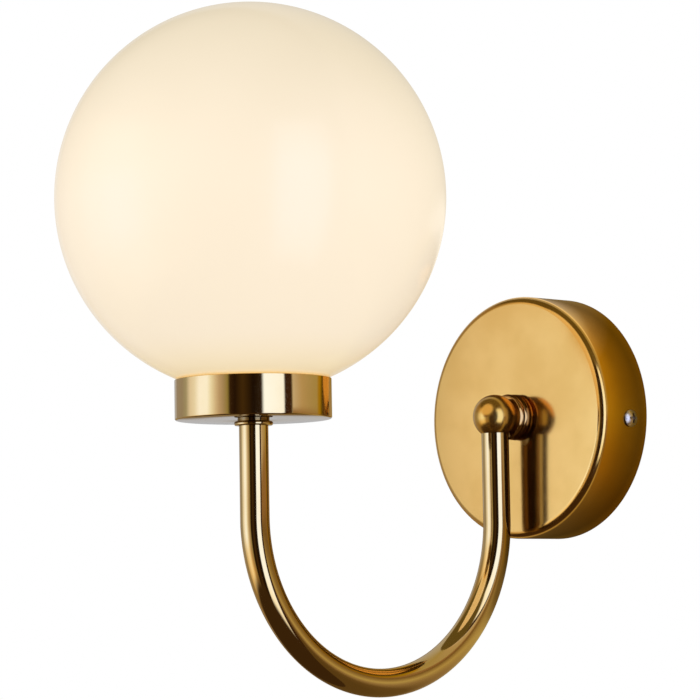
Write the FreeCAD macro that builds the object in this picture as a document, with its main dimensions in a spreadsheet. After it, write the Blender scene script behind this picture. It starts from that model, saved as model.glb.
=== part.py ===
import FreeCAD, Part
import math
import os

import Sketcher

# Globe wall sconce, in millimetres. The wall is the plane Y = 0, the lamp reaches out
# towards -Y and +Z is up. The origin is the middle of the canopy, on the wall.

# Driving dimensions. "gap" is a clearance on the radius, or between two faces.
SIZES = {
    # canopy: the round brass cup that stands against the wall
    "canopy_across": 120.5,
    "canopy_depth": 31.4,
    "canopy_wall": 1.5,
    "canopy_bend": 2.5,
    # bracket: steel strap on the wall, with a tapped ear at each end
    "bracket_plate": 2,
    "bracket_width": 20,
    "bracket_gap": 0.5,
    "bend_inside": 1,
    "ear_reach": 18,
    "slot_spacing": 60,
    "slot_width": 4.5,
    "slot_length": 14,
    "tab_width": 14,
    "tab_height": 20,
    "block_lift": 2,
    "earth_offset": 14,
    # screws
    "thread_gap": 0.05,
    "hole_gap": 0.25,
    "side_screw_height": 12,
    "side_screw_drop": 3.5,
    "side_screw_thread": 4,
    "side_screw_length": 10,
    "side_screw_head": 8.5,
    "side_screw_cap": 2.4,
    "cross_width": 1,
    "earth_screw_thread": 4,
    "earth_screw_head": 7,
    "earth_screw_cap": 2.4,
    "ring_across": 8,
    "ring_plate": 0.8,
    "crimp_length": 6,
    # terminal block
    "pole_pitch": 8.5,
    "block_height": 17,
    "block_depth": 12,
    "insert_across": 5,
    "insert_bore": 3.2,
    "insert_length": 13,
    "clamp_thread": 2.6,
    "clamp_head": 3.8,
    "clamp_cap": 1.6,
    "clamp_sunk": 1,
    "clamp_spacing": 7,
    "fixing_thread": 3,
    "fixing_head": 4.2,
    "fixing_cap": 1.8,
    # ball, ringed collar and hollow threaded nipples
    "ball_across": 21.5,
    "ball_gap": 0.15,
    "collar_across": 23,
    "collar_waist": 21,
    "collar_neck": 0.6,
    "collar_ring": 2.4,
    "collar_groove": 1.4,
    "collar_lip": 2.3,
    "collar_round": 0.8,
    "thread_across": 10,
    "nipple_wall": 1,
    "nipple_grip": 8,
    "nut_flats": 14,
    "nut_height": 3,
    "thread_proud": 1.5,
    "washer_across": 17,
    "washer_plate": 0.8,
    "washer_notch": 1.6,
    # arm: one U of brass tube
    "tube_across": 13.5,
    "arm_reach": 155,
    "leg_drop": 51,
    # wiring
    "flex_across": 4.6,
    "flex_bend": 8,
    "core_across": 1.8,
    "sheath_tail": 3,
    "sheath_proud": 1,
    "core_tail": 4,
    "core_bend": 4,
    "core_grip": 3,
    "core_drop": 6,
    "holder_core_tail": 1.5,
    "holder_core_bend": 1.5,
    "holder_core_grip": 4,
    "holder_core_rise": 4.5,
    "earth_loop": 9,
    "earth_slope": 8,
    "earth_step": 4,
    "earth_bend": 6,
    "crimp_grip": 2,
    # flange and cup that carry the globe
    "flange_across": 17.8,
    "flange_height": 2,
    "flange_neck_across": 14.6,
    "flange_neck": 0.8,
    "cup_across": 72,
    "cup_height": 18.5,
    "cup_wall": 1.2,
    "cup_edge": 0.8,
    "cup_drop": 6.6,
    # globe, its gasket and its spring clip
    "globe_across": 180,
    "glass": 2.5,
    "neck_across": 66.6,
    "neck_length": 15.7,
    "gasket_plate": 1.5,
    "gasket_inset": 1,
    "clip_hub": 20,
    "clip_plate": 0.6,
    "clip_width": 8,
    "clip_height": 12,
    "clip_bead": 1.2,
    "clip_gap": 0.3,
    # lampholder
    "holder_across": 38,
    "holder_wall": 1.6,
    "holder_floor": 5,
    "holder_foot": 23,
    "holder_throat": 19,
    "holder_shoulder": 8,
    "ledge_width": 2.9,
    "holder_ledge": 12,
    "holder_height": 19,
    "sleeve_wall": 1.8,
    "sleeve_height": 30,
    "sleeve_dip": 6,
    "sleeve_flange": 3,
    "core_hole": 3,
    "core_hole_offset": 7,
    "tongue_plate": 0.4,
    "tongue_width": 5,
    "tongue_rise": 2,
    "tongue_foot": 5,
    "tongue_slope": 2,
    "tongue_tip": 4,
    "shell_plate": 0.4,
    "shell_lip": 2,
    "shell_height": 21,
    # bulb
    "bulb_gap": 0.35,
    "bulb_cap_across": 26,
    "bulb_cap_height": 20,
    "bulb_thread": 0.7,
    "insulator_height": 4.5,
    "contact_across": 10,
    "contact_height": 1.5,
    "bulb_across": 45,
    "bulb_length": 78,
    "bulb_wall": 1.2,
    "bulb_mouth": 36,
    "led_plate": 1.6,
}

document = FreeCAD.newDocument("GlobeWallSconce")
sheet = document.addObject("Spreadsheet::Sheet", "Sizes")
for row, (alias, value) in enumerate(SIZES.items(), start=1):
    sheet.set(f"A{row}", alias)
    sheet.set(f"B{row}", str(value))
    sheet.setAlias(f"B{row}", alias)
document.recompute()

subparts = []

UPRIGHT = FreeCAD.Rotation()
OUT_OF_WALL = FreeCAD.Rotation(FreeCAD.Vector(1, 0, 0), 90)
ALONG_X = FreeCAD.Rotation(FreeCAD.Vector(0, 1, 0), 90)
ALONG_Y = FreeCAD.Rotation(FreeCAD.Vector(1, 0, 0), -90)
HALF_TURN = FreeCAD.Rotation(FreeCAD.Vector(0, 0, 1), 180)

# Heights and places that follow from the sizes. Names ending in _z are heights above the
# origin, and names ending in _out are distances out of the wall.
S = "Sizes."
canopy_radius = f"{S}canopy_across / 2"
canopy_inner = f"({canopy_radius} - {S}canopy_wall)"
thread_radius = f"{S}thread_across / 2"
tapped_radius = f"({thread_radius} + {S}thread_gap)"
through_radius = f"({thread_radius} + {S}hole_gap)"
nipple_bore = f"({thread_radius} - {S}nipple_wall)"
collar_height = f"({S}collar_neck + {S}collar_ring + {S}collar_groove + {S}collar_lip)"
ball_radius = f"{S}ball_across / 2"
tube_radius = f"{S}tube_across / 2"
ball_ahead = f"({tube_radius} + {S}ball_gap)"
ball_out = f"({S}canopy_depth + {collar_height} + {ball_ahead})"
ball_flat = f"sqrt(({ball_radius})^2 - ({tube_radius})^2)"
front_out = f"({ball_out} + {S}arm_reach)"
cup_z = f"(0 - {S}cup_drop)"
tube_top_z = f"({cup_z} - {S}flange_neck - {S}flange_height)"
cup_floor_z = f"({cup_z} + {S}cup_wall)"
cup_radius = f"{S}cup_across / 2"
neck_radius = f"{S}neck_across / 2"
neck_bore = f"({neck_radius} - {S}glass)"
clip_z = cup_floor_z
nut_z = f"({clip_z} + {S}clip_plate)"
holder_z = f"({nut_z} + {S}nut_height)"
sleeve_radius = f"({S}holder_across / 2 - {S}holder_wall - {S}thread_gap)"
sleeve_bore = f"({sleeve_radius} - {S}sleeve_wall)"
core_block_radius = f"({sleeve_bore} - {S}thread_gap)"
shell_bore = f"({S}bulb_cap_across / 2 + {S}bulb_gap)"
bulb_z = f"({holder_z} + {S}holder_height + {S}tongue_rise)"
neck_foot_z = f"({cup_floor_z} + {S}gasket_plate)"
sphere_radius = f"{S}globe_across / 2"
globe_rise = f"({S}neck_length + sqrt(({sphere_radius})^2 - ({neck_radius})^2))"


def number(expression):
    return float(sheet.evalExpression(expression))


def put(item, where, turn=UPRIGHT):
    item.Placement = FreeCAD.Placement(FreeCAD.Vector(), turn)
    for axis, expression in zip("xyz", where):
        item.setExpression(f"Placement.Base.{axis}", expression)


def body_at(label, where, turn=UPRIGHT, listed=True):
    body = document.addObject("PartDesign::Body", label)
    put(body, where, turn)
    if listed:
        subparts.append(body)
    return body


def primitive(body, kind, dims, where=("0", "0", "0"), turn=UPRIGHT):
    item = body.newObject(f"PartDesign::{kind}", kind)
    for name, expression in dims.items():
        item.setExpression(name, expression)
    put(item, where, turn)
    document.recompute()
    return item


def cylinder(body, radius, height, where=("0", "0", "0"), turn=UPRIGHT, cut=False):
    kind = "SubtractiveCylinder" if cut else "AdditiveCylinder"
    return primitive(body, kind, {"Radius": radius, "Height": height}, where, turn)


def box(body, length, width, height, where=("0", "0", "0"), turn=UPRIGHT, cut=False):
    kind = "SubtractiveBox" if cut else "AdditiveBox"
    return primitive(body, kind, {"Length": length, "Width": width, "Height": height}, where, turn)


def ball(body, radius, where, cut=False):
    kind = "SubtractiveSphere" if cut else "AdditiveSphere"
    return primitive(body, kind, {"Radius": radius}, where)


def hexagon(body, across_flats, height):
    dims = {"Circumradius": f"{across_flats} / 2 / cos(30)", "Height": height}
    return primitive(body, "AdditivePrism", dims)


def origin_item(body, role):
    return [item for item in body.Origin.OriginFeatures if item.Role == role][0]


def sketch_on(body, plane):
    sketch = body.newObject("Sketcher::SketchObject", "Outline")
    sketch.AttachmentSupport = [(origin_item(body, plane), "")]
    sketch.MapMode = "FlatFace"
    return sketch


def pin_point(sketch, geometry, end, place):
    # holds one point of a sketch at its distances from the two axes
    for kind, axis, expression in zip(("DistanceX", "DistanceY"), (-2, -1), place):
        if expression == "0":
            sketch.addConstraint(Sketcher.Constraint("PointOnObject", geometry, end, axis))
            continue
        distance = Sketcher.Constraint(kind, -1, 1, geometry, end, number(expression))
        index = sketch.addConstraint(distance)
        sketch.setExpression(f"Constraints[{index}]", expression)


def straight_outline(sketch, corners):
    # closed outline of straight lines through the corners
    points = [FreeCAD.Vector(number(u), number(v), 0) for u, v in corners]
    first = sketch.GeometryCount
    count = len(points)
    for index, point in enumerate(points):
        sketch.addGeometry(Part.LineSegment(point, points[(index + 1) % count]), False)
    for index, corner in enumerate(corners):
        following = first + (index + 1) % count
        sketch.addConstraint(Sketcher.Constraint("Coincident", first + index, 2, following, 1))
        pin_point(sketch, first + index, 1, corner)


def circle_outline(sketch, centre, radius):
    middle = FreeCAD.Vector(number(centre[0]), number(centre[1]), 0)
    normal = FreeCAD.Vector(0, 0, 1)
    index = sketch.addGeometry(Part.Circle(middle, normal, number(radius)), False)
    pin_point(sketch, index, 3, centre)
    size = sketch.addConstraint(Sketcher.Constraint("Radius", index, number(radius)))
    sketch.setExpression(f"Constraints[{size}]", radius)


def turned(label, corners, where, turn=UPRIGHT, listed=True):
    # a piece turned on a lathe: corners are (radius, height) round the local Z axis
    body = body_at(label, where, turn, listed)
    sketch = sketch_on(body, "XZ_Plane")
    straight_outline(sketch, corners)
    document.recompute()
    revolution = body.newObject("PartDesign::Revolution", "Turning")
    revolution.Profile = sketch
    revolution.ReferenceAxis = (sketch, ["V_Axis"])
    revolution.Angle = 360
    document.recompute()
    return body


def round_edges(body, radius, chosen):
    # rounds the edges of the body's last feature for which chosen(edge) is true
    base = body.Tip
    names = [f"Edge{i}" for i, edge in enumerate(base.Shape.Edges, start=1) if chosen(edge)]
    fillet = body.newObject("PartDesign::Fillet", "Rounding")
    fillet.Base = (base, names)
    fillet.setExpression("Radius", radius)
    document.recompute()


def round_rings(body, radius, rings):
    # rounds turned edges, each given as (ring radius, height) in the body's own frame
    wanted = [(number(ring), number(height)) for ring, height in rings]

    def chosen(edge):
        if not isinstance(edge.Curve, Part.Circle):
            return False
        centre = edge.Curve.Center
        if math.hypot(centre.x, centre.y) > 0.01:
            return False
        return any(
            abs(edge.Curve.Radius - ring) < 0.01 and abs(centre.z - height) < 0.01
            for ring, height in wanted
        )

    round_edges(body, radius, chosen)


def around(body, feature, count):
    pattern = body.newObject("PartDesign::PolarPattern", "Around")
    pattern.Originals = [feature]
    pattern.Axis = (origin_item(body, "Z_Axis"), [""])
    pattern.Angle = 360
    pattern.Occurrences = count
    body.Tip = pattern
    document.recompute()


def group(label, members):
    # one node of several like pieces
    compound = document.addObject("Part::Compound", label)
    compound.Links = members
    subparts.append(compound)


def shifted(source, where):
    # a copy of a body, moved
    copy = document.addObject("Part::Compound", "Copy")
    copy.Links = [source]
    put(copy, where)
    return copy


def mirrored_in_x(source):
    copy = document.addObject("Part::Mirroring", "Copy")
    copy.Source = source
    copy.Normal = (1, 0, 0)
    copy.Base = (0, 0, 0)
    return copy


def cross_recess(body, face, span, width, depth):
    # cross for a screwdriver, sunk from the height "face"
    for length, breadth in ((span, width), (width, span)):
        corner = (f"0 - ({length}) / 2", f"0 - ({breadth}) / 2", f"{face} - {depth}")
        box(body, length, breadth, f"{depth} + 1", corner, cut=True)


# Counts, and shares of a screw's head that every screw keeps.
WASHER_TEETH = 10
CREST_COUNT = 6
HEAD_DOME = 0.5
CROSS_SPAN = 0.58
CROSS_SINK = 0.55


def screw(label, thread, length, head, cap, where, turn, listed=True):
    # pan-head screw: local Z = 0 is under the head, and the thread points down; the dome and
    # the cross keep their shares of the head whatever its size
    tip = f"0 - ({length})"
    corners = [
        ("0", tip),
        (f"{thread} / 2", tip),
        (f"{thread} / 2", "0"),
        (f"{head} / 2", "0"),
        (f"{head} / 2", cap),
        ("0", cap),
    ]
    body = turned(label, corners, where, turn, listed)
    round_rings(body, f"{cap} * {HEAD_DOME}", [(f"{head} / 2", cap)])
    depth = f"{cap} * {CROSS_SINK}"
    cross_recess(body, cap, f"{head} * {CROSS_SPAN}", f"{S}cross_width", depth)
    return body


def rounded_path(points, radii):
    # straight runs joined by tangent arcs, with one radius for each inner point
    edges = []
    start = points[0]
    for before, corner, after, radius in zip(points, points[1:], points[2:], radii):
        back = (before - corner).normalize()
        ahead = (after - corner).normalize()
        half = back.getAngle(ahead) / 2
        first = corner + back * (radius / math.tan(half))
        last = corner + ahead * (radius / math.tan(half))
        inwards = (back + ahead).normalize()
        middle = corner + inwards * (radius / math.sin(half) - radius)
        if (first - start).Length > 1e-6:
            edges.append(Part.LineSegment(start, first).toShape())
        edges.append(Part.Arc(first, middle, last).toShape())
        start = last
    edges.append(Part.LineSegment(start, points[-1]).toShape())
    return Part.Wire(edges)


def cord_solid(across, points, radii):
    places = [FreeCAD.Vector(*point) for point in points]
    path = rounded_path(places, radii)
    ring = Part.Circle(places[0], places[1] - places[0], across / 2).toShape()
    solid = path.makePipeShell([Part.Wire(ring)], True, False)
    section = math.pi * across * across / 4
    print(f"cord {path.Length:.1f} long, volume ratio {solid.Volume / section / path.Length:.4f}")
    return solid


def cords(label, solids):
    item = document.addObject("Part::Feature", label)
    item.Shape = solids[0] if len(solids) == 1 else Part.makeCompound(solids)
    subparts.append(item)


# ---------------------------------------------------------------- canopy and wall bracket

WALL = ("0", "0", "0")

# The two side screws lie a little below the middle of the canopy.
screw_up = f"(0 - {S}side_screw_drop)"


def make_canopy():
    front = f"{S}canopy_depth"
    behind = f"({front} - {S}canopy_wall)"
    canopy = turned("canopy", [
        (canopy_inner, "0"),
        (canopy_radius, "0"),
        (canopy_radius, front),
        (through_radius, front),
        (through_radius, behind),
        (canopy_inner, behind),
    ], WALL, OUT_OF_WALL)
    round_rings(canopy, f"{S}canopy_bend + {S}canopy_wall", [(canopy_radius, front)])
    round_rings(canopy, f"{S}canopy_bend", [(canopy_inner, behind)])
    hole = f"{S}side_screw_thread / 2 + {S}hole_gap"
    start = (f"0 - {canopy_radius} - 1", screw_up, f"{S}side_screw_height")
    cylinder(canopy, hole, f"{S}canopy_across + 2", start, ALONG_X, cut=True)


# The strap is as long as the canopy's inside lets its corners be.
strap_end = f"(sqrt({canopy_inner}^2 - ({S}bracket_width / 2)^2) - {S}bracket_gap)"
tab_foot = f"({S}bracket_width / 2)"
block_foot = f"({tab_foot} + {S}block_lift)"


def make_wall_bracket():
    plate = f"{S}bracket_plate"
    width = f"{S}bracket_width"
    bracket = body_at("wall_bracket", WALL, OUT_OF_WALL)
    lower = f"0 - {width} / 2"
    box(bracket, f"2 * {strap_end}", width, plate, (f"0 - {strap_end}", lower, "0"))
    for start in (f"0 - {strap_end}", f"{strap_end} - {plate}"):
        box(bracket, plate, width, f"{S}ear_reach", (start, lower, "0"))
    tab = f"{S}tab_width"
    box(bracket, tab, f"{S}tab_height + 1", plate, (f"0 - {tab} / 2", f"{tab_foot} - 1", "0"))

    half_length = number(strap_end)
    thick = number(plate)

    def fold_at(x, z):
        return lambda edge: (
            edge.BoundBox.XLength < 0.01
            and edge.BoundBox.ZLength < 0.01
            and abs(abs(edge.BoundBox.XMin) - x) < 0.01
            and abs(edge.BoundBox.ZMin - z) < 0.01
        )

    round_edges(bracket, f"{S}bend_inside", fold_at(half_length - thick, thick))
    round_edges(bracket, f"{S}bend_inside + {plate}", fold_at(half_length, 0))

    # two slots for the wall screws
    straight = f"({S}slot_length - {S}slot_width)"
    deep = f"{plate} + 2"
    for side in ("1", "-1"):
        centre = f"{side} * {S}slot_spacing / 2"
        corner = (f"{centre} - {straight} / 2", f"0 - {S}slot_width / 2", "-1")
        box(bracket, straight, f"{S}slot_width", deep, corner, cut=True)
        for end in ("1", "-1"):
            place = (f"{centre} + {end} * {straight} / 2", "0", "-1")
            cylinder(bracket, f"{S}slot_width / 2", deep, place, cut=True)

    # tapped holes: one in each ear, one for the earth screw, one for the terminal block
    ear_hole = f"{S}side_screw_thread / 2 + {S}thread_gap"
    start = (f"0 - {strap_end} - 1", screw_up, f"{S}side_screw_height")
    cylinder(bracket, ear_hole, f"2 * {strap_end} + 2", start, ALONG_X, cut=True)
    earth_hole = f"{S}earth_screw_thread / 2 + {S}thread_gap"
    cylinder(bracket, earth_hole, deep, (f"0 - {S}earth_offset", "0", "-1"), cut=True)
    fixing_hole = f"{S}fixing_thread / 2 + {S}thread_gap"
    place = (f"{S}pole_pitch / 2", f"{block_foot} + {S}block_height / 2", "-1")
    cylinder(bracket, fixing_hole, deep, place, cut=True)


def make_side_screws():
    place = (canopy_radius, f"0 - {S}side_screw_height", screw_up)
    dims = (f"{S}side_screw_thread", f"{S}side_screw_length")
    head = (f"{S}side_screw_head", f"{S}side_screw_cap")
    right = screw("side_screw", *dims, *head, place, ALONG_X, listed=False)
    group("canopy_side_screws", [right, mirrored_in_x(right)])


def make_earth_point():
    plate = f"{S}bracket_plate"
    ring = f"{S}ring_plate"
    offset = f"0 - {S}earth_offset"
    terminal = body_at("earth_ring_terminal", (offset, f"0 - {plate}", "0"), OUT_OF_WALL)
    cylinder(terminal, f"{S}ring_across / 2", ring)
    reach = f"{S}ring_across / 2 + {S}crimp_length"
    box(terminal, f"{S}core_across", reach, ring, (f"0 - {S}core_across / 2", "0", "0"))
    crimp = f"{S}core_across / 2 + {ring}"
    barrel = ("0", f"{S}ring_across / 2 + 1", crimp)
    cylinder(terminal, crimp, f"{S}crimp_length - 1", barrel, ALONG_Y)
    cylinder(terminal, f"{S}core_across / 2", f"{S}crimp_length", barrel, ALONG_Y, cut=True)
    hole = f"{S}earth_screw_thread / 2 + {S}hole_gap"
    cylinder(terminal, hole, f"{ring} + 2", ("0", "0", "-1"), cut=True)
    under_head = (offset, f"0 - {plate} - {ring}", "0")
    length = f"{plate} + {ring} - {S}hole_gap"
    head = (f"{S}earth_screw_head", f"{S}earth_screw_cap")
    screw("earth_screw", f"{S}earth_screw_thread", length, *head, under_head, OUT_OF_WALL)


# ---------------------------------------------------------------- terminal block

block_middle = f"({block_foot} + {S}block_height / 2)"
insert_height = f"({S}block_depth / 2)"
clamp_seat = f"({S}block_depth - {S}clamp_cap - {S}clamp_sunk)"
fixing_seat = f"({insert_height} + {S}insert_across / 2 + {S}hole_gap)"
BLOCK = ("0", f"0 - {S}bracket_plate", block_middle)
POLES = ("-1", "0", "1")


def make_terminal_block():
    pitch = f"{S}pole_pitch"
    block = body_at("terminal_block", BLOCK, OUT_OF_WALL)
    corner = (f"0 - 1.5 * {pitch}", f"0 - {S}block_height / 2", "0")
    box(block, f"3 * {pitch}", f"{S}block_height", f"{S}block_depth", corner)
    for pole in POLES:
        x = f"{pole} * {pitch}"
        start = (x, f"0 - {S}block_height / 2 - 1", insert_height)
        bore = f"{S}insert_across / 2 + {S}thread_gap"
        cylinder(block, bore, f"{S}block_height + 2", start, ALONG_Y, cut=True)
        for side in ("1", "-1"):
            well = (x, f"{side} * {S}clamp_spacing / 2", insert_height)
            radius = f"{S}clamp_head / 2 + {S}hole_gap"
            cylinder(block, radius, f"{S}block_depth", well, cut=True)
    place = (f"{pitch} / 2", "0", "-1")
    cylinder(block, f"{S}fixing_thread / 2 + {S}thread_gap", f"{S}block_depth", place, cut=True)
    well = (f"{pitch} / 2", "0", fixing_seat)
    cylinder(block, f"{S}fixing_head / 2 + {S}hole_gap", f"{S}block_depth", well, cut=True)

    # one brass insert, tapped for its two clamp screws, then a copy at each outer pole
    insert = body_at("pole_insert", BLOCK, OUT_OF_WALL, listed=False)
    start = ("0", f"0 - {S}insert_length / 2", insert_height)
    cylinder(insert, f"{S}insert_across / 2", f"{S}insert_length", start, ALONG_Y)
    start = ("0", f"0 - {S}insert_length / 2 - 1", insert_height)
    cylinder(insert, f"{S}insert_bore / 2", f"{S}insert_length + 2", start, ALONG_Y, cut=True)
    clamps = []
    for side in ("1", "-1"):
        y = f"{side} * {S}clamp_spacing / 2"
        radius = f"{S}clamp_thread / 2 + {S}thread_gap"
        cylinder(insert, radius, f"{S}insert_across", ("0", y, insert_height), cut=True)
        seat = ("0", f"0 - {S}bracket_plate - {clamp_seat}", f"{block_middle} + {y}")
        length = f"{clamp_seat} - {insert_height} - {S}core_across / 2 - {S}thread_gap"
        head = (f"{S}clamp_head", f"{S}clamp_cap")
        name = "clamp_screw"
        thread = f"{S}clamp_thread"
        clamps.append(screw(name, thread, length, *head, seat, OUT_OF_WALL, listed=False))
    side_poles = [(f"{pole} * {pitch}", "0", "0") for pole in POLES]
    group("terminal_inserts", [shifted(insert, place) for place in side_poles])
    group("terminal_screws", [shifted(clamp, place) for clamp in clamps for place in side_poles])

    seat = (f"{pitch} / 2", f"0 - {S}bracket_plate - {fixing_seat}", block_middle)
    length = f"{fixing_seat} + {S}bracket_plate - {S}hole_gap"
    head = (f"{S}fixing_head", f"{S}fixing_cap")
    screw("terminal_fixing_screw", f"{S}fixing_thread", length, *head, seat, OUT_OF_WALL)


# ---------------------------------------------------------------- nipples, nuts and ball

canopy_inside = f"({S}canopy_depth - {S}canopy_wall)"
washer_out = f"({canopy_inside} - {S}washer_plate)"
locknut_out = f"({washer_out} - {S}nut_height)"
nipple_start = f"({locknut_out} - {S}thread_proud)"
nipple_end = f"({ball_out} - {thread_radius} - {S}hole_gap)"


def make_nipple(label, length, where, turn=UPRIGHT):
    nipple = turned(label, [
        (nipple_bore, "0"),
        (thread_radius, "0"),
        (thread_radius, length),
        (nipple_bore, length),
    ], where, turn)
    round_rings(nipple, f"{S}nipple_wall * 0.4", [(thread_radius, "0"), (thread_radius, length)])


def make_locknut(label, where, turn=UPRIGHT):
    nut = body_at(label, where, turn)
    hexagon(nut, f"{S}nut_flats", f"{S}nut_height")
    cylinder(nut, tapped_radius, f"{S}nut_height + 2", ("0", "0", "-1"), cut=True)


def make_canopy_fixings():
    length = f"{nipple_end} - {nipple_start}"
    start = ("0", f"0 - {nipple_start}", "0")
    make_nipple("canopy_nipple", length, start, OUT_OF_WALL)
    make_locknut("canopy_locknut", ("0", f"0 - {locknut_out}", "0"), OUT_OF_WALL)
    plate = f"{S}washer_plate"
    washer = body_at("canopy_tooth_washer", ("0", f"0 - {washer_out}", "0"), OUT_OF_WALL)
    cylinder(washer, f"{S}washer_across / 2", plate)
    cylinder(washer, through_radius, f"{plate} + 2", ("0", "0", "-1"), cut=True)
    notch = f"{S}washer_notch"
    corner = (f"{S}washer_across / 2 - {notch}", f"0 - {notch} / 2", "-1")
    tooth = box(washer, f"{notch} + 1", notch, f"{plate} + 2", corner, cut=True)
    around(washer, tooth, WASHER_TEETH)


def make_ringed_collar():
    ring = f"{S}collar_across / 2"
    waist = f"{S}collar_waist / 2"
    neck_end = f"{S}collar_neck"
    ring_end = f"({neck_end} + {S}collar_ring)"
    groove_end = f"({ring_end} + {S}collar_groove)"
    collar = turned("ringed_collar", [
        (through_radius, "0"),
        (waist, "0"),
        (waist, neck_end),
        (ring, neck_end),
        (ring, ring_end),
        (waist, ring_end),
        (waist, groove_end),
        (ring, groove_end),
        (ring, collar_height),
        (through_radius, collar_height),
    ], ("0", f"0 - {S}canopy_depth", "0"), OUT_OF_WALL)
    edges = [neck_end, ring_end, groove_end, collar_height]
    round_rings(collar, f"{S}collar_round", [(ring, height) for height in edges])
    centre = ("0", "0", f"{collar_height} + {ball_ahead}")
    ball(collar, f"{ball_radius} + {S}thread_gap", centre, cut=True)


def make_arm_ball():
    body = body_at("arm_ball", ("0", f"0 - {ball_out}", "0"))
    ball(body, ball_radius, ("0", "0", "0"))
    side = f"{S}ball_across"
    box(body, side, side, side, (f"0 - {side} / 2",) * 2 + (f"0 - {ball_flat} - {side}",), cut=True)
    ball(body, tapped_radius, ("0", "0", "0"), cut=True)
    cylinder(body, tapped_radius, side, ("0", "0", f"0 - {side}"), cut=True)
    cylinder(body, tapped_radius, side, ("0", "0", "0"), ALONG_Y, cut=True)


# ---------------------------------------------------------------- arm

def make_arm_tube():
    # one bent tube: down from the ball, round the U and up to the flange under the cup
    drop = f"({S}leg_drop - {ball_flat})"
    rise = f"({tube_top_z} + {S}leg_drop)"
    reach = f"{S}arm_reach"
    tube = body_at("arm_tube", ("0", f"0 - {ball_out}", f"0 - {ball_flat}"), HALF_TURN)
    section = sketch_on(tube, "XY_Plane")
    circle_outline(section, ("0", "0"), tube_radius)
    circle_outline(section, ("0", "0"), tapped_radius)
    spine = sketch_on(tube, "YZ_Plane")
    low = 0 - number(drop)
    far = number(reach)
    top = low + number(rise)
    lines = (
        (FreeCAD.Vector(0, 0, 0), FreeCAD.Vector(0, low, 0)),
        (FreeCAD.Vector(far, low, 0), FreeCAD.Vector(far, top, 0)),
    )
    for first, last in lines:
        spine.addGeometry(Part.LineSegment(first, last), False)
    bend = Part.Circle(FreeCAD.Vector(far / 2, low, 0), FreeCAD.Vector(0, 0, 1), far / 2)
    spine.addGeometry(Part.ArcOfCircle(bend, math.pi, 2 * math.pi), False)
    spine.addConstraint(Sketcher.Constraint("Coincident", 0, 2, 2, 1))
    spine.addConstraint(Sketcher.Constraint("Coincident", 1, 1, 2, 2))
    pin_point(spine, 0, 1, ("0", "0"))
    pin_point(spine, 0, 2, ("0", f"0 - {drop}"))
    pin_point(spine, 1, 1, (reach, f"0 - {drop}"))
    pin_point(spine, 1, 2, (reach, f"{rise} - {drop}"))
    centre_height = spine.addConstraint(Sketcher.Constraint("DistanceY", -1, 1, 2, 3, low))
    spine.setExpression(f"Constraints[{centre_height}]", f"0 - {drop}")
    document.recompute()
    pipe = tube.newObject("PartDesign::AdditivePipe", "Bend")
    pipe.Profile = section
    pipe.Spine = spine
    document.recompute()
    area = math.pi * (number(tube_radius) ** 2 - number(tapped_radius) ** 2)
    length = number(drop) + number(rise) + math.pi * far / 2
    print(f"arm tube volume ratio {tube.Shape.Volume / area / length:.4f}")


def make_arm_nipples():
    # hollow threads that join the tube to the ball and to the cup
    top = f"(0 - {nipple_bore})"
    foot = f"(0 - {ball_flat} - {S}nipple_grip)"
    make_nipple("ball_nipple", f"{top} - {foot}", ("0", f"0 - {ball_out}", foot))
    foot = f"({tube_top_z} - {S}nipple_grip)"
    top = f"({holder_z} + {S}holder_floor)"
    make_nipple("cup_nipple", f"{top} - {foot}", ("0", f"0 - {front_out}", foot))


# ---------------------------------------------------------------- cup, clip, gasket and globe

def at_front(height):
    return ("0", f"0 - {front_out}", height)


def make_cup_flange():
    outer = f"{S}flange_across / 2"
    neck = f"{S}flange_neck_across / 2"
    thick = f"{S}flange_height"
    top = f"({thick} + {S}flange_neck)"
    flange = turned("cup_flange", [
        (through_radius, "0"),
        (outer, "0"),
        (outer, thick),
        (neck, thick),
        (neck, top),
        (through_radius, top),
    ], at_front(tube_top_z))
    round_rings(flange, f"{thick} * 0.45", [(outer, "0"), (outer, thick)])


def make_globe_cup():
    wall = f"{S}cup_wall"
    inner = f"({cup_radius} - {wall})"
    cup = turned("globe_cup", [
        (through_radius, "0"),
        (cup_radius, "0"),
        (cup_radius, f"{S}cup_height"),
        (inner, f"{S}cup_height"),
        (inner, wall),
        (through_radius, wall),
    ], at_front(cup_z))
    round_rings(cup, f"{S}cup_edge", [(cup_radius, "0")])
    rim = [(cup_radius, f"{S}cup_height"), (inner, f"{S}cup_height")]
    round_rings(cup, f"{wall} * 0.3", rim)


def make_gasket():
    outer = f"({cup_radius} - {S}cup_wall - {S}hole_gap)"
    inner = f"({neck_bore} - {S}gasket_inset)"
    turned("globe_gasket", [
        (inner, "0"),
        (outer, "0"),
        (outer, f"{S}gasket_plate"),
        (inner, f"{S}gasket_plate"),
    ], at_front(cup_floor_z))


def make_globe_clip():
    # spring with three fingers that press on the inside of the globe's neck
    plate = f"{S}clip_plate"
    width = f"{S}clip_width"
    bead = f"{S}clip_bead"
    finger = f"(sqrt(({neck_bore} - {S}clip_gap)^2 - ({width} / 2)^2) - {bead})"
    clip = body_at("globe_clip", at_front(clip_z))
    arm = box(clip, f"{finger} - {thread_radius}", width, plate,
              (thread_radius, f"0 - {width} / 2", "0"))
    around(clip, arm, 3)
    blade = box(clip, plate, width, f"{S}clip_height", (f"{finger} - {plate}", f"0 - {width} / 2", "0"))
    around(clip, blade, 3)
    roll = cylinder(clip, bead, width, (finger, f"0 - {width} / 2", f"{S}clip_height - {bead}"), ALONG_Y)
    around(clip, roll, 3)
    cylinder(clip, f"{S}clip_hub / 2", plate)
    cylinder(clip, through_radius, f"{plate} + 2", ("0", "0", "-1"), cut=True)


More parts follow.
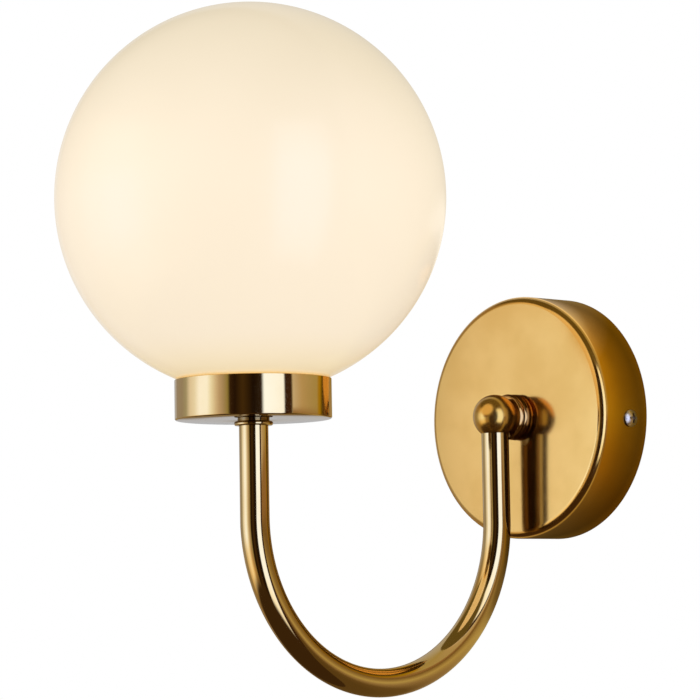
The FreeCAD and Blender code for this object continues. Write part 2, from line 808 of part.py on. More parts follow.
def make_globe():
    # blown glass: a sphere and its neck, less the same two shapes inside
    def glass_form(label, sphere, neck, neck_foot):
        bulb = document.addObject("Part::Sphere", label + "Sphere")
        bulb.setExpression("Radius", sphere)
        put(bulb, ("0", "0", globe_rise))
        tube = document.addObject("Part::Cylinder", label + "Neck")
        tube.setExpression("Radius", neck)
        tube.setExpression("Height", f"{globe_rise} - ({neck_foot})")
        put(tube, ("0", "0", neck_foot))
        form = document.addObject("Part::Fuse", label + "Form")
        form.Base = bulb
        form.Tool = tube
        return form

    outer = glass_form("Outer", sphere_radius, neck_radius, "0")
    inner = glass_form("Inner", f"{sphere_radius} - {S}glass", neck_bore, "-1")
    globe = document.addObject("Part::Cut", "globe")
    globe.Base = outer
    globe.Tool = inner
    put(globe, at_front(neck_foot_z))
    subparts.append(globe)


# ---------------------------------------------------------------- lampholder

insert_z = f"({holder_z} + {S}holder_ledge)"
insert_top_z = f"({holder_z} + {S}holder_height)"


def make_holder_cap():
    outer = f"{S}holder_across / 2"
    inner = f"({outer} - {S}holder_wall)"
    ledge = f"({inner} - {S}ledge_width)"
    shoulder = f"{S}holder_shoulder"
    floor = f"{S}holder_floor"
    turned("holder_cap", [
        (tapped_radius, "0"),
        (f"{S}holder_foot / 2", "0"),
        (outer, shoulder),
        (outer, f"{S}holder_height"),
        (inner, f"{S}holder_height"),
        (inner, f"{S}holder_ledge"),
        (ledge, f"{S}holder_ledge"),
        (ledge, shoulder),
        (f"{S}holder_throat / 2", floor),
        (tapped_radius, floor),
    ], at_front(holder_z))


def make_holder_insert():
    height = f"({S}holder_height - {S}holder_ledge)"
    insert = body_at("holder_insert", at_front(insert_z))
    cylinder(insert, core_block_radius, height)
    for side in ("1", "-1"):
        place = (f"{side} * {S}core_hole_offset", "0", "-1")
        cylinder(insert, f"{S}core_hole / 2", f"{height} + 2", place, cut=True)


def make_holder_sleeve():
    rim = f"{S}holder_across / 2"
    start = f"({S}holder_height - {S}sleeve_dip)"
    flange_end = f"({S}sleeve_dip + {S}sleeve_flange)"
    turned("holder_sleeve", [
        (sleeve_bore, "0"),
        (sleeve_radius, "0"),
        (sleeve_radius, f"{S}sleeve_dip"),
        (rim, f"{S}sleeve_dip"),
        (rim, flange_end),
        (sleeve_radius, flange_end),
        (sleeve_radius, f"{S}sleeve_height"),
        (sleeve_bore, f"{S}sleeve_height"),
    ], at_front(f"{holder_z} + {start}"))


def make_holder_contacts():
    plate = f"{S}shell_plate"
    outer = f"({shell_bore} + {plate})"
    lip = f"({shell_bore} - {S}shell_lip)"
    turned("holder_screw_shell", [
        (lip, "0"),
        (outer, "0"),
        (outer, f"{S}shell_height"),
        (shell_bore, f"{S}shell_height"),
        (shell_bore, plate),
        (lip, plate),
    ], at_front(insert_top_z))

    # spring tongue: a flat foot, a slope and a flat top that the bulb presses on
    thin = f"{S}tongue_plate"
    rise = f"{S}tongue_rise"
    tip = f"{S}tongue_tip"
    slope_top = f"0 - {S}tongue_slope"
    slope_foot = f"({slope_top} - {S}tongue_slope)"
    heel = f"({slope_foot} - {S}tongue_foot)"
    tongue = body_at("holder_tongue", at_front(insert_top_z))
    sketch = sketch_on(tongue, "XZ_Plane")
    straight_outline(sketch, [
        (heel, "0"),
        (slope_foot, "0"),
        (slope_top, f"{rise} - {thin}"),
        (tip, f"{rise} - {thin}"),
        (tip, rise),
        (f"{slope_top} - {thin}", rise),
        (f"{slope_foot} - {thin}", thin),
        (heel, thin),
    ])
    document.recompute()
    pad = tongue.newObject("PartDesign::Pad", "Strip")
    pad.Profile = sketch
    pad.setExpression("Length", f"{S}tongue_width")
    pad.Midplane = True
    document.recompute()


# ---------------------------------------------------------------- bulb

cap_foot = f"({S}contact_height + {S}insulator_height)"
cap_end = f"({cap_foot} + {S}bulb_cap_height)"
envelope_radius = f"{S}bulb_across / 2"
envelope_middle = f"({S}bulb_length - {envelope_radius})"
mouth_radius = f"{S}bulb_mouth / 2"
mouth_height = f"({envelope_middle} - sqrt(({envelope_radius})^2 - ({mouth_radius})^2))"


def make_bulb_base():
    contact = f"{S}contact_across / 2"
    turned("bulb_contact", [
        ("0", "0"),
        (f"{contact} * 0.7", "0"),
        (contact, f"{S}contact_height"),
        ("0", f"{S}contact_height"),
    ], at_front(bulb_z))
    cap = f"({S}bulb_cap_across / 2)"
    turned("bulb_insulator", [
        ("0", f"{S}contact_height"),
        (contact, f"{S}contact_height"),
        (f"{cap} - {S}bulb_thread * 2", cap_foot),
        ("0", cap_foot),
    ], at_front(bulb_z))

    # threaded metal cap: its crests stand at equal steps
    steps = 2 * CREST_COUNT
    step = f"({S}bulb_cap_height / {steps})"
    root = f"({cap} - {S}bulb_thread)"
    corners = [("0", cap_foot), (root, cap_foot)]
    for index in range(1, steps):
        radius = cap if index % 2 else root
        corners.append((radius, f"{cap_foot} + {index} * {step}"))
    corners += [(root, cap_end), ("0", cap_end)]
    turned("bulb_cap", corners, at_front(bulb_z))


def make_bulb_body():
    turned("bulb_body", [
        ("0", cap_end),
        (f"{S}bulb_cap_across / 2", cap_end),
        (mouth_radius, mouth_height),
        ("0", mouth_height),
    ], at_front(bulb_z))
    plate = f"({mouth_radius} - {S}bulb_wall * 2)"
    turned("led_board", [
        ("0", mouth_height),
        (plate, mouth_height),
        (plate, f"{mouth_height} + {S}led_plate"),
        ("0", f"{mouth_height} + {S}led_plate"),
    ], at_front(bulb_z))

    envelope = body_at("bulb_envelope", at_front(bulb_z))
    centre = ("0", "0", envelope_middle)
    ball(envelope, envelope_radius, centre)
    ball(envelope, f"{envelope_radius} - {S}bulb_wall", centre, cut=True)
    side = f"{S}bulb_across"
    corner = (f"0 - {side} / 2", f"0 - {side} / 2", f"{mouth_height} - {side}")
    box(envelope, side, side, side, corner, cut=True)


# ---------------------------------------------------------------- wiring

def make_wiring():
    out = number(ball_out)
    front = number(front_out)
    drop = SIZES["leg_drop"]
    bend = SIZES["arm_reach"] / 2
    sheath_end = number(nipple_start) - SIZES["sheath_tail"]
    holder = number(holder_z)
    holder_end = holder + SIZES["holder_floor"] + SIZES["sheath_proud"]
    flex = cord_solid(SIZES["flex_across"], [
        (0, -sheath_end, 0),
        (0, -out, 0),
        (0, -out, -drop - bend),
        (0, -front, -drop - bend),
        (0, -front, holder_end),
    ], (SIZES["flex_bend"], bend, bend))
    cords("arm_flex", [flex])

    # The three cores lie in a triangle where they leave the sheath.
    across = SIZES["core_across"]
    lay = across / math.sqrt(3) + SIZES["thread_gap"]
    sheath_places = {
        side: (lay * math.cos(math.radians(angle)), lay * math.sin(math.radians(angle)))
        for side, angle in ((-1, 210), (0, 90), (1, 330))
    }
    pitch = SIZES["pole_pitch"]
    pole_out = SIZES["bracket_plate"] + number(insert_height)
    block_low = number(block_foot)
    insert_low = number(block_middle) - SIZES["insert_length"] / 2
    core_bend = SIZES["core_bend"]

    def canopy_core(side):
        # from the sheath to the lower side of the terminal block; each core turns a little
        # later than the one beside it, so that they don't touch
        x, z = sheath_places[side]
        return cord_solid(across, [
            (x, -sheath_end, z),
            (x, -sheath_end + SIZES["core_tail"] + side, z),
            (side * pitch, -pole_out, block_low - SIZES["core_drop"]),
            (side * pitch, -pole_out, insert_low + SIZES["core_grip"]),
        ], (core_bend, core_bend))

    def holder_core(side):
        # from the other end of the sheath into the lampholder's insert
        x, y = sheath_places[side]
        offset = math.copysign(SIZES["core_hole_offset"], side)
        top = holder + SIZES["holder_ledge"] + SIZES["holder_core_grip"]
        tight = SIZES["holder_core_bend"]
        return cord_solid(across, [
            (x, y - front, holder_end),
            (x, y - front, holder_end + SIZES["holder_core_tail"]),
            (offset, -front, top - SIZES["holder_core_rise"]),
            (offset, -front, top),
        ], (tight, tight))

    cords("live_core", [canopy_core(-1), holder_core(-1)])
    cords("neutral_core", [canopy_core(0), holder_core(1)])
    cords("earth_core", [canopy_core(1)])

    # earth lead from the ring terminal, over the block and down into the earth pole
    x = -SIZES["earth_offset"]
    crimp_out = SIZES["bracket_plate"] + across / 2 + SIZES["ring_plate"]
    above = block_low + SIZES["block_height"] + SIZES["earth_loop"]
    insert_high = insert_low + SIZES["insert_length"]
    slope = SIZES["earth_slope"]
    turn = SIZES["earth_bend"]
    cords("earth_lead", [cord_solid(across, [
        (x, -crimp_out, SIZES["ring_across"] / 2 + SIZES["crimp_grip"]),
        (x, -crimp_out, above - slope),
        (x + SIZES["earth_step"], -pole_out, above),
        (pitch, -pole_out, above),
        (pitch, -pole_out, insert_high - SIZES["core_grip"]),
    ], (slope, turn, turn))])


make_canopy()
make_wall_bracket()
make_side_screws()
make_earth_point()
make_terminal_block()
make_canopy_fixings()
make_ringed_collar()
make_arm_ball()
make_arm_tube()
make_arm_nipples()
make_cup_flange()
make_globe_cup()
make_locknut("cup_locknut", at_front(nut_z))
make_gasket()
make_globe_clip()
make_globe()
make_holder_cap()
make_holder_insert()
make_holder_sleeve()
make_holder_contacts()
make_bulb_base()
make_bulb_body()
make_wiring()
document.recompute()

for item in document.Objects:
    if "Invalid" in item.State or "Error" in item.State:
        raise RuntimeError(f"{item.Label} failed: {item.State}")
for subpart in subparts:
    if subpart.Shape.isNull() or not subpart.Shape.isValid() or not subpart.Shape.Solids:
        raise RuntimeError(f"{subpart.Label} has no valid solid")

os.makedirs("parts", exist_ok=True)
for subpart in subparts:
    subpart.Shape.exportStep(f"parts/{subpart.Label}.step")
print(f"{len(subparts)} sub-parts written")
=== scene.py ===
import math

import bmesh
import bpy
from mathutils import Matrix, Vector


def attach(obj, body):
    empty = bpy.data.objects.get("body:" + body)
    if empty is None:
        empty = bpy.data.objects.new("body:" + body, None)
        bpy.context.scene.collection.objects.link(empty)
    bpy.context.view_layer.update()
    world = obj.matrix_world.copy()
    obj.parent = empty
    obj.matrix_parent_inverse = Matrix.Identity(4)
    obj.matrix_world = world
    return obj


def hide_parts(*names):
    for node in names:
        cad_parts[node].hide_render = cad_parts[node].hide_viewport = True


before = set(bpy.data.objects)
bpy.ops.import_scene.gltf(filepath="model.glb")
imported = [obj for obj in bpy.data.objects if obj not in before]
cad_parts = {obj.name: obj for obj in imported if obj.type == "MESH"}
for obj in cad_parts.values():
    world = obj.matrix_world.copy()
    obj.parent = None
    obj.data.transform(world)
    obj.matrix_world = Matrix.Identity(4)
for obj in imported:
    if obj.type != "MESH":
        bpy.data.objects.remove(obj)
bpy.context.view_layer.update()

scene = bpy.context.scene
mm = 0.001
print("frame loaded:", len(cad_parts), "nodes")


class Wire:
    # an output socket that can be used in sums, in shader and geometry trees alike
    def __init__(self, graph, socket):
        self.graph = graph
        self.socket = socket

    def other(self, name):
        return Wire(self.graph, self.socket.node.outputs[name])

    def __add__(self, value):
        return self.graph.maths("ADD", self, value)

    __radd__ = __add__

    def __sub__(self, value):
        return self.graph.maths("SUBTRACT", self, value)

    def __rsub__(self, value):
        return self.graph.maths("SUBTRACT", value, self)

    def __mul__(self, value):
        return self.graph.maths("MULTIPLY", self, value)

    __rmul__ = __mul__

    def __truediv__(self, value):
        return self.graph.maths("DIVIDE", self, value)

    def __rtruediv__(self, value):
        return self.graph.maths("DIVIDE", value, self)

    def __pow__(self, value):
        return self.graph.maths("POWER", self, value)

    def __rpow__(self, value):
        return self.graph.maths("POWER", value, self)


class Graph:
    def __init__(self, tree):
        self.tree = tree

    def node(self, kind, settings=None, values=None, output=0):
        made = self.tree.nodes.new(kind)
        for key, value in (settings or {}).items():
            if key == "stops":
                fillRamp(made.color_ramp, value)
            else:
                setattr(made, key, value)
        for key, value in (values or {}).items():
            if isinstance(value, Wire):
                self.tree.links.new(value.socket, made.inputs[key])
            else:
                made.inputs[key].default_value = value
        return Wire(self, made.outputs[output])

    def maths(self, operation, first, second=0.0, clamp=False):
        settings = {"operation": operation, "use_clamp": clamp}
        return self.node("ShaderNodeMath", settings, {0: first, 1: second})

    def split(self, vector):
        first = self.node("ShaderNodeSeparateXYZ", {}, {"Vector": vector})
        return first, first.other("Y"), first.other("Z")

    def joined(self, x, y, z):
        return self.node("ShaderNodeCombineXYZ", {}, {"X": x, "Y": y, "Z": z})

    def least(self, first, second):
        return self.maths("MINIMUM", first, second)

    def most(self, first, second):
        return self.maths("MAXIMUM", first, second)

    def blend(self, factor, first, second, way="MIX"):
        settings = {"data_type": "RGBA", "blend_type": way}
        return self.node("ShaderNodeMix", settings, {0: factor, 6: first, 7: second}, output=2)

    def band(self, value, low, high, start=0.0, end=1.0):
        settings = {"interpolation_type": "SMOOTHSTEP"}
        values = {0: value, 1: low, 2: high, 3: start, 4: end}
        return self.node("ShaderNodeMapRange", settings, values)

    def tinted(self, first, second):
        return self.blend(1.0, first, second, "MULTIPLY")

    def toned(self, value, low, high, stops):
        # given tones along a value's range
        stops = [((place - low) / (high - low), tone) for place, tone in stops]
        return self.node("ShaderNodeValToRGB", {"stops": stops}, {0: (value - low) / (high - low)})

    def seen(self):
        # 1 for what the camera sees, also in a mirror or through glass
        path = self.node("ShaderNodeLightPath", output="Is Camera Ray")
        indirect = self.most(path.other("Is Glossy Ray"), path.other("Is Transmission Ray"))
        return self.most(path, indirect)


def fillRamp(ramp, stops):
    while len(ramp.elements) < len(stops):
        ramp.elements.new(1.0)
    for element, (place, colour) in zip(ramp.elements, stops):
        element.position = place
        element.color = rgba(colour)


def rgba(colour):
    return (*colour, 1.0)


class Finish(Graph):
    def __init__(self, name, **sockets):
        self.name = name
        self.material = bpy.data.materials.new(name)
        self.material.use_nodes = True
        super().__init__(self.material.node_tree)
        self.shader = self.tree.nodes["Principled BSDF"]
        self.object = self.node("ShaderNodeTexCoord", output="Object")
        self.feed(**sockets)

    def feed(self, **sockets):
        for key, value in sockets.items():
            target = self.shader.inputs[socketNames[key]]
            if isinstance(value, Wire):
                self.tree.links.new(value.socket, target)
            else:
                target.default_value = value
        return self

    def show(self, shader):
        self.tree.links.new(shader.socket, self.tree.nodes["Material Output"].inputs["Surface"])

    def centred(self, place, turn=(0.0, 0.0, 0.0)):
        # object coordinates as seen from a place, with its axis along Z
        values = {"Vector": self.object, "Location": place, "Rotation": turn}
        return self.node("ShaderNodeMapping", {"vector_type": "TEXTURE"}, values)

    def noise(self, scale, detail=3.0, vector=None, rough=0.5):
        vector = vector or self.object
        values = {"Vector": vector, "Scale": scale, "Detail": detail, "Roughness": rough}
        return self.node("ShaderNodeTexNoise", {"noise_dimensions": "3D"}, values)

    def bump(self, height, strength, distance):
        values = {"Height": height, "Strength": strength, "Distance": distance}
        return self.node("ShaderNodeBump", {}, values)


socketNames = {
    "colour": "Base Color", "rough": "Roughness", "metal": "Metallic", "normal": "Normal",
    "coat": "Coat Weight", "coatRough": "Coat Roughness", "coatIor": "Coat IOR",
    "specular": "Specular IOR Level", "glow": "Emission Color", "glowStrength": "Emission Strength",
    "under": "Subsurface Weight", "underScale": "Subsurface Scale",
}

brassLook = dict(
    tone=(0.81, 0.56, 0.23),         # lacquered brass, warm
    deepTone=(0.78, 0.52, 0.20),     # a little browner where the lacquer is thick
    rough=0.07,
    smudge=0.03,                     # how much duller the smears are
    cloudScale=38.0, smearScale=140.0,
    lineScale=5200.0, lineHeight=0.000004,
    relief=0.35, lineGloss=0.02,     # how much the fine lines show in shape and gloss
)
canopyLook = dict(brassLook, tone=(0.86, 0.51, 0.14), deepTone=(0.80, 0.46, 0.115), rough=0.14)
ballLook = dict(brassLook, tone=(0.78, 0.45, 0.10), deepTone=(0.74, 0.41, 0.085), rough=0.22)
# painted shade: the collar's brass is a darker copy of the other brass, for the dark between the ball
# and the canopy
collarShadedLook = dict(brassLook, tone=(0.66, 0.36, 0.12), deepTone=(0.60, 0.31, 0.09), rough=0.10)
tubeLook = dict(brassLook, cloudScale=30.0, smearScale=120.0,
                lineScale=2600.0, relief=0.2, lineGloss=0.0)


def lacquered(made, look, lines):
    # clouded tone, smeared gloss and fine lines in relief
    cloud = made.noise(look["cloudScale"], 3.0)
    smear = made.noise(look["smearScale"], 4.0, rough=0.6)
    colour = made.blend(made.band(cloud, 0.35, 0.7), rgba(look["tone"]), rgba(look["deepTone"]))
    gloss = look["rough"] + look["smudge"] * (made.band(smear, 0.45, 0.75) - 0.3)
    if look["lineGloss"]:
        gloss = gloss + look["lineGloss"] * (lines - 0.5)
    normal = made.bump(lines, look["relief"], look["lineHeight"])
    return made.feed(colour=colour, rough=gloss, normal=normal)


def spunBrass(name, look, place=(0.0, 0.0, 0.0), turn=(0.0, 0.0, 0.0)):
    # brass turned or spun about an axis: faint lines run round it
    made = Finish(name, metal=1.0)
    x, y, z = made.split(made.centred(place, turn))
    radius = made.maths("SQRT", x * x + y * y)
    scale = look["lineScale"]
    lines = made.noise(1.0, 4.0, made.joined(radius * scale, z * scale, 0.0))
    return lacquered(made, look, lines)


def drawnBrass(name, look):
    # drawn and polished tube: a very fine grain in a smooth gloss
    made = Finish(name, metal=1.0)
    return lacquered(made, look, made.noise(look["lineScale"], 2.0))


def platedSteel(name, tone, rough, stain, spotScale=900.0, cloudScale=220.0, mottle=0.16):
    # plated steel: mottled gloss and a faint yellow or blue cast
    made = Finish(name, metal=1.0)
    spots = made.noise(spotScale, 4.0, rough=0.6)
    cloud = made.noise(cloudScale, 3.0)
    colour = made.blend(made.band(cloud, 0.4, 0.75), rgba(tone), rgba(stain))
    gloss = rough + mottle * (spots - 0.5)
    return made.feed(colour=colour, rough=gloss, normal=made.bump(spots, 0.3, 0.00001))


def moulded(name, tone, rough, grain=0.00002, shade=0.9, scale=2400.0, cloudScale=160.0, **sockets):
    # moulded or fired piece with a fine grain
    made = Finish(name, **sockets)
    fine = made.noise(scale, 3.0)
    cloud = made.noise(cloudScale, 3.0)
    darker = tuple(part * shade for part in tone)
    colour = made.blend(made.band(cloud, 0.35, 0.75), rgba(tone), rgba(darker))
    normal = made.bump(fine, 0.35, grain)
    return made.feed(colour=colour, rough=rough + 0.1 * (fine - 0.5), normal=normal)


# The globe's glow is painted light: it stands in for the bulb's light shining through the opal glass.
globeLook = dict(
    centre=(0.0, -0.2, 0.0954),      # middle of the sphere
    radius=0.09,
    body=(0.70, 0.67, 0.60),
    low=(1.0, 0.78, 0.51),           # glow nearest the bulb
    high=(0.65, 0.47, 0.20),         # glow at the top
    nearCup=(1.0, 0.72, 0.28),       # yellower just over the cup
    rise=(-0.1, 1.0), foot=(-0.98, -0.72),     # where these change, in radii above the middle
    wave=0.12, waveScale=22.0,       # how unevenly the glow thins out
    seedScale=420.0,                 # tiny bubbles in the glass
    glow=0.54,
)


def opalGlass():
    look = globeLook
    made = Finish("opalGlass", rough=0.30, specular=0.0, coat=0.6, coatRough=0.18, coatIor=1.45,
                  glowStrength=look["glow"])
    x, y, z = made.split(made.centred(look["centre"]))
    height = z / look["radius"]
    wave = made.noise(look["waveScale"], 2.0)
    # painted light: the glow is strongest low down near the bulb, thins out towards the top and turns
    # yellower just over the cup
    rise = made.band(height + look["wave"] * (wave - 0.5), *look["rise"])
    glow = made.blend(rise, rgba(look["low"]), rgba(look["high"]))
    foot = made.band(height, *look["foot"], 1.0, 0.0)
    glow = made.blend(foot, glow, rgba(look["nearCup"]))
    normal = made.bump(made.noise(look["seedScale"], 2.0), 0.05, 0.00002)
    return made.feed(colour=rgba(look["body"]), glow=glow, normal=normal)


bulbLook = dict(body=(0.72, 0.70, 0.64), glow=(1.0, 0.80, 0.52), deepGlow=(1.0, 0.76, 0.46))
sheathLook = dict(green=(0.04, 0.26, 0.05), yellow=(0.72, 0.58, 0.03), stripes=2.0,
                  edge=(0.14, 0.17))


def diffuser():
    made = Finish("bulbDiffuser", colour=rgba(bulbLook["body"]), rough=0.45, glowStrength=0.45)
    cloud = made.noise(60.0, 2.0)
    glow = made.blend(cloud, rgba(bulbLook["glow"]), rgba(bulbLook["deepGlow"]))
    return made.feed(glow=glow, normal=made.bump(made.noise(3000.0, 2.0), 0.3, 0.00001))


def stripedSheath():
    # earth insulation: green with yellow stripes that follow the wire
    made = Finish("greenYellowSheath", specular=0.4)
    around = made.node("ShaderNodeAttribute", {"attribute_name": "aroundWire"}, output="Fac")
    stripe = made.maths("PINGPONG", around * sheathLook["stripes"], 0.5)
    edge = made.band(stripe, *sheathLook["edge"])
    fine = made.noise(2600.0, 3.0)
    colour = made.blend(edge, rgba(sheathLook["yellow"]), rgba(sheathLook["green"]))
    normal = made.bump(fine, 0.3, 0.00001)
    return made.feed(colour=colour, rough=0.38 + 0.1 * (fine - 0.5), normal=normal)


outOfWall = (math.radians(90), 0.0, 0.0)
finishes = {made.name: made for made in (
    spunBrass("canopyBrass", canopyLook, turn=outOfWall),
    spunBrass("collarBrass", collarShadedLook, turn=outOfWall),
    spunBrass("ballBrass", ballLook, place=(0.0, -0.045, 0.0)),
    spunBrass("cupBrass", brassLook, place=(0.0, -0.2, 0.0)),
    drawnBrass("tubeBrass", tubeLook),
    platedSteel("rawBrass", (0.78, 0.60, 0.30), 0.3, (0.70, 0.50, 0.24)),
    platedSteel("zincSteel", (0.66, 0.67, 0.68), 0.34, (0.62, 0.60, 0.50)),
    platedSteel("nickelSteel", (0.78, 0.76, 0.72), 0.2, (0.72, 0.68, 0.62)),
    platedSteel("screwNickel", (0.70, 0.57, 0.42), 0.30, (0.62, 0.50, 0.37)),
    platedSteel("springSteel", (0.60, 0.60, 0.60), 0.3, (0.50, 0.49, 0.52)),
    platedSteel("tinnedCopper", (0.76, 0.75, 0.72), 0.3, (0.74, 0.66, 0.58)),
    platedSteel("solderTin", (0.70, 0.70, 0.71), 0.28, (0.58, 0.58, 0.60)),
    moulded("whitePlastic", (0.82, 0.81, 0.77), 0.42),
    moulded("blackPlastic", (0.022, 0.022, 0.024), 0.4, shade=1.5),
    moulded("silicone", (0.78, 0.77, 0.73), 0.55, under=0.3, underScale=0.002),
    moulded("ceramic", (0.80, 0.77, 0.70), 0.6, grain=0.00004, scale=1500.0),
    moulded("board", (0.85, 0.85, 0.82), 0.35),
    moulded("flexSheath", (0.80, 0.80, 0.80), 0.4),
    moulded("brownSheath", (0.13, 0.045, 0.02), 0.36),
    moulded("blueSheath", (0.03, 0.12, 0.42), 0.36),
    stripedSheath(),
    opalGlass(),
    diffuser(),
)}
print("finishes made:", len(finishes))

shownNodes = {
    "holder_insert": "ceramic", "holder_screw_shell": "rawBrass", "holder_tongue": "rawBrass",
    "bulb_contact": "solderTin", "bulb_insulator": "blackPlastic", "led_board": "board",
    "bulb_envelope": "bulbDiffuser",
}
for nodeName, finishName in shownNodes.items():
    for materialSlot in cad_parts[nodeName].material_slots:
        materialSlot.material = finishes[finishName].material
print("CAD nodes dressed:", len(shownNodes))


def having(item, **values):
    for key, value in values.items():
        setattr(item, key, value)
    return item


def linked(name, data):
    made = bpy.data.objects.new(name, data)
    scene.collection.objects.link(made)
    return made


def meshOf(form, name):
    mesh = bpy.data.meshes.new(name)
    form.to_mesh(mesh)
    form.free()
    return mesh


def pieceFromMesh(name, mesh, finish, node, body="fixture"):
    # links a finished mesh, puts it on the body it rides on and hides the node it stands for
    mesh.name = name
    made = linked(name, mesh)
    mesh.materials.clear()
    mesh.materials.append(finishes[finish].material)
    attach(made, body)
    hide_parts(node)


def smoothed(mesh, angle=32.0):
    for face in mesh.polygons:
        face.use_smooth = True
    mesh.set_sharp_from_angle(angle=math.radians(angle))
    return mesh


def roundedOutline(corners, arcSteps=6):
    # corners are (radius, height, rounding) in millimetres, in order; roundings become arcs
    points = []
    count = len(corners)
    for index, (radius, height, rounding) in enumerate(corners):
        corner = Vector((radius, height))
        if rounding == 0:
            points.append(corner)
            continue
        before = Vector(corners[index - 1][:2]) - corner
        after = Vector(corners[(index + 1) % count][:2]) - corner
        back, ahead = before.normalized(), after.normalized()
        half = back.angle(ahead) / 2
        centre = corner + (back + ahead).normalized() * (rounding / math.sin(half))
        first = corner + back * (rounding / math.tan(half)) - centre
        last = corner + ahead * (rounding / math.tan(half)) - centre
        sweep = first.angle_signed(last)
        for step in range(arcSteps + 1):
            turn = Matrix.Rotation(-sweep * step / arcSteps, 2)
            points.append(centre + turn @ first)
    return points


def arc(across, height, radius, start, end, steps):
    # outline points on a circle round (across, height), from one angle to another
    angles = [start + (end - start) * step / steps for step in range(steps + 1)]
    return [(across + radius * math.cos(angle), height + radius * math.sin(angle)) for angle in angles]


def lathe(outline, place=(0, 0, 0), outwards=False, steps=160, closed=True):
    # turns an outline of (radius, height) points about local Z; outwards lays Z along -Y
    form = bmesh.new()
    rows = []
    for radius, height in outline:
        if radius < 1e-6:
            rows.append([form.verts.new((0.0, 0.0, height * mm))])
            continue
        ring = []
        for step in range(steps):
            angle = 2 * math.pi * step / steps
            spot = (radius * mm * math.cos(angle), radius * mm * math.sin(angle), height * mm)
            ring.append(form.verts.new(spot))
        rows.append(ring)
    pairs = list(zip(rows, rows[1:]))
    if closed:
        pairs.append((rows[-1], rows[0]))
    for lower, upper in pairs:
        if len(lower) == len(upper) == 1:
            continue
        for step in range(steps):
            following = (step + 1) % steps
            corners = [lower[step % len(lower)], lower[following % len(lower)],
                       upper[following % len(upper)], upper[step % len(upper)]]
            form.faces.new(list(dict.fromkeys(corners)))    # three corners at a pole
    turn = Matrix.Rotation(math.radians(90), 4, "X") if outwards else Matrix.Identity(4)
    form.transform(Matrix.Translation(Vector(place) * mm) @ turn)
    bmesh.ops.recalc_face_normals(form, faces=form.faces)
    return smoothed(meshOf(form, "turned"))


def carved(mesh, cutter):
    target = linked("target", mesh)
    tool = linked("tool", cutter)
    cut = target.modifiers.new("cut", "BOOLEAN")
    having(cut, operation="DIFFERENCE", solver="EXACT", object=tool)
    result = evaluatedMesh(target)
    bpy.data.objects.remove(target)
    bpy.data.objects.remove(tool)
    return smoothed(result)


def evaluatedMesh(item):
    bpy.context.view_layer.update()
    graph = bpy.context.evaluated_depsgraph_get()
    return bpy.data.meshes.new_from_object(item.evaluated_get(graph))


def rod(radius, start, end, steps=48):
    # plain closed cylinder between two places in millimetres, for cutting
    axis = Vector(end) - Vector(start)
    form = bmesh.new()
    bmesh.ops.create_cone(form, cap_ends=True, segments=steps, radius1=radius * mm,
                          radius2=radius * mm, depth=axis.length * mm)
    turn = axis.to_track_quat("Z", "Y").to_matrix().to_4x4()
    middle = (Vector(start) + Vector(end)) / 2 * mm
    form.transform(Matrix.Translation(middle) @ turn)
    return meshOf(form, "rod")


# sizes in millimetres, from here to the bulb
canopy = dict(radius=60.25, depth=31.4, wall=1.5, bend=2.5, rim=0.35, centreHole=5.25, holeEdge=0.2,
              screwHole=2.25, screwHeight=12.0, screwDrop=3.5)


def makeCanopy():
    inner = canopy["radius"] - canopy["wall"]
    behind = canopy["depth"] - canopy["wall"]
    outline = roundedOutline([
        (inner, 0.0, canopy["rim"]), (canopy["radius"], 0.0, canopy["rim"]),
        (canopy["radius"], canopy["depth"], canopy["bend"] + canopy["wall"]),
        (canopy["centreHole"], canopy["depth"], canopy["holeEdge"]),
        (canopy["centreHole"], behind, canopy["holeEdge"]),
        (inner, behind, canopy["bend"]),
    ], 14)
    mesh = lathe(outline, outwards=True, steps=256)
    reach = canopy["radius"] + 2
    out, drop = canopy["screwHeight"], canopy["screwDrop"]
    hole = rod(canopy["screwHole"], (-reach, -out, -drop), (reach, -out, -drop))
    pieceFromMesh("canopyShell", carved(mesh, hole), "canopyBrass", "canopy")


makeCanopy()
print("canopy made")


collar = dict(
    start=31.4, height=6.7, hole=5.25, waist=10.5, neck=0.6,
    ring=11.5, slope=1.1, ringWidth=2.4,       # two rings that get smaller towards the ball
    flare=0.1,                                 # the rear ring's front edge is this much wider
    groove=1.4, grooveDepth=0.6,
    rounding=0.35, edge=0.2,
    dish=0.15, seatGap=0.05,                   # hollow seat that fits the ball
)
ball = dict(radius=10.75, out=45.0, flat=8.3666, bore=5.05)


def makeCollar():
    # two sloping rings, dished in front round the ball's seat
    neck, edge, rounding = collar["neck"], collar["edge"], collar["rounding"]
    ringEnd = neck + collar["ringWidth"]
    grooveEnd = ringEnd + collar["groove"]
    seat = ball["radius"] + collar["seatGap"]
    centre = ball["out"] - collar["start"]
    crest = collar["ring"] - collar["slope"]
    bottom = crest - collar["grooveDepth"]
    outline = roundedOutline([
        (collar["hole"], 0.0, 0.0), (collar["waist"], 0.0, 0.15),
        (collar["waist"], neck, edge), (collar["ring"], neck, rounding),
        (crest + collar["flare"], ringEnd, rounding), (bottom, ringEnd, edge),
        (bottom, grooveEnd, edge), (collar["ring"], grooveEnd, rounding),
        (crest, collar["height"], rounding),
    ], 6)
    rim = math.sqrt(seat ** 2 - (centre - collar["height"] + collar["dish"]) ** 2)
    steps = 8
    for step in range(steps + 1):
        radius = rim + (collar["hole"] - rim) * step / steps
        outline.append(Vector((radius, centre - math.sqrt(seat ** 2 - radius ** 2))))
    mesh = lathe(outline, (0.0, -collar["start"], 0.0), outwards=True, steps=160)
    pieceFromMesh("ringedCollar", mesh, "collarBrass", "ringed_collar")


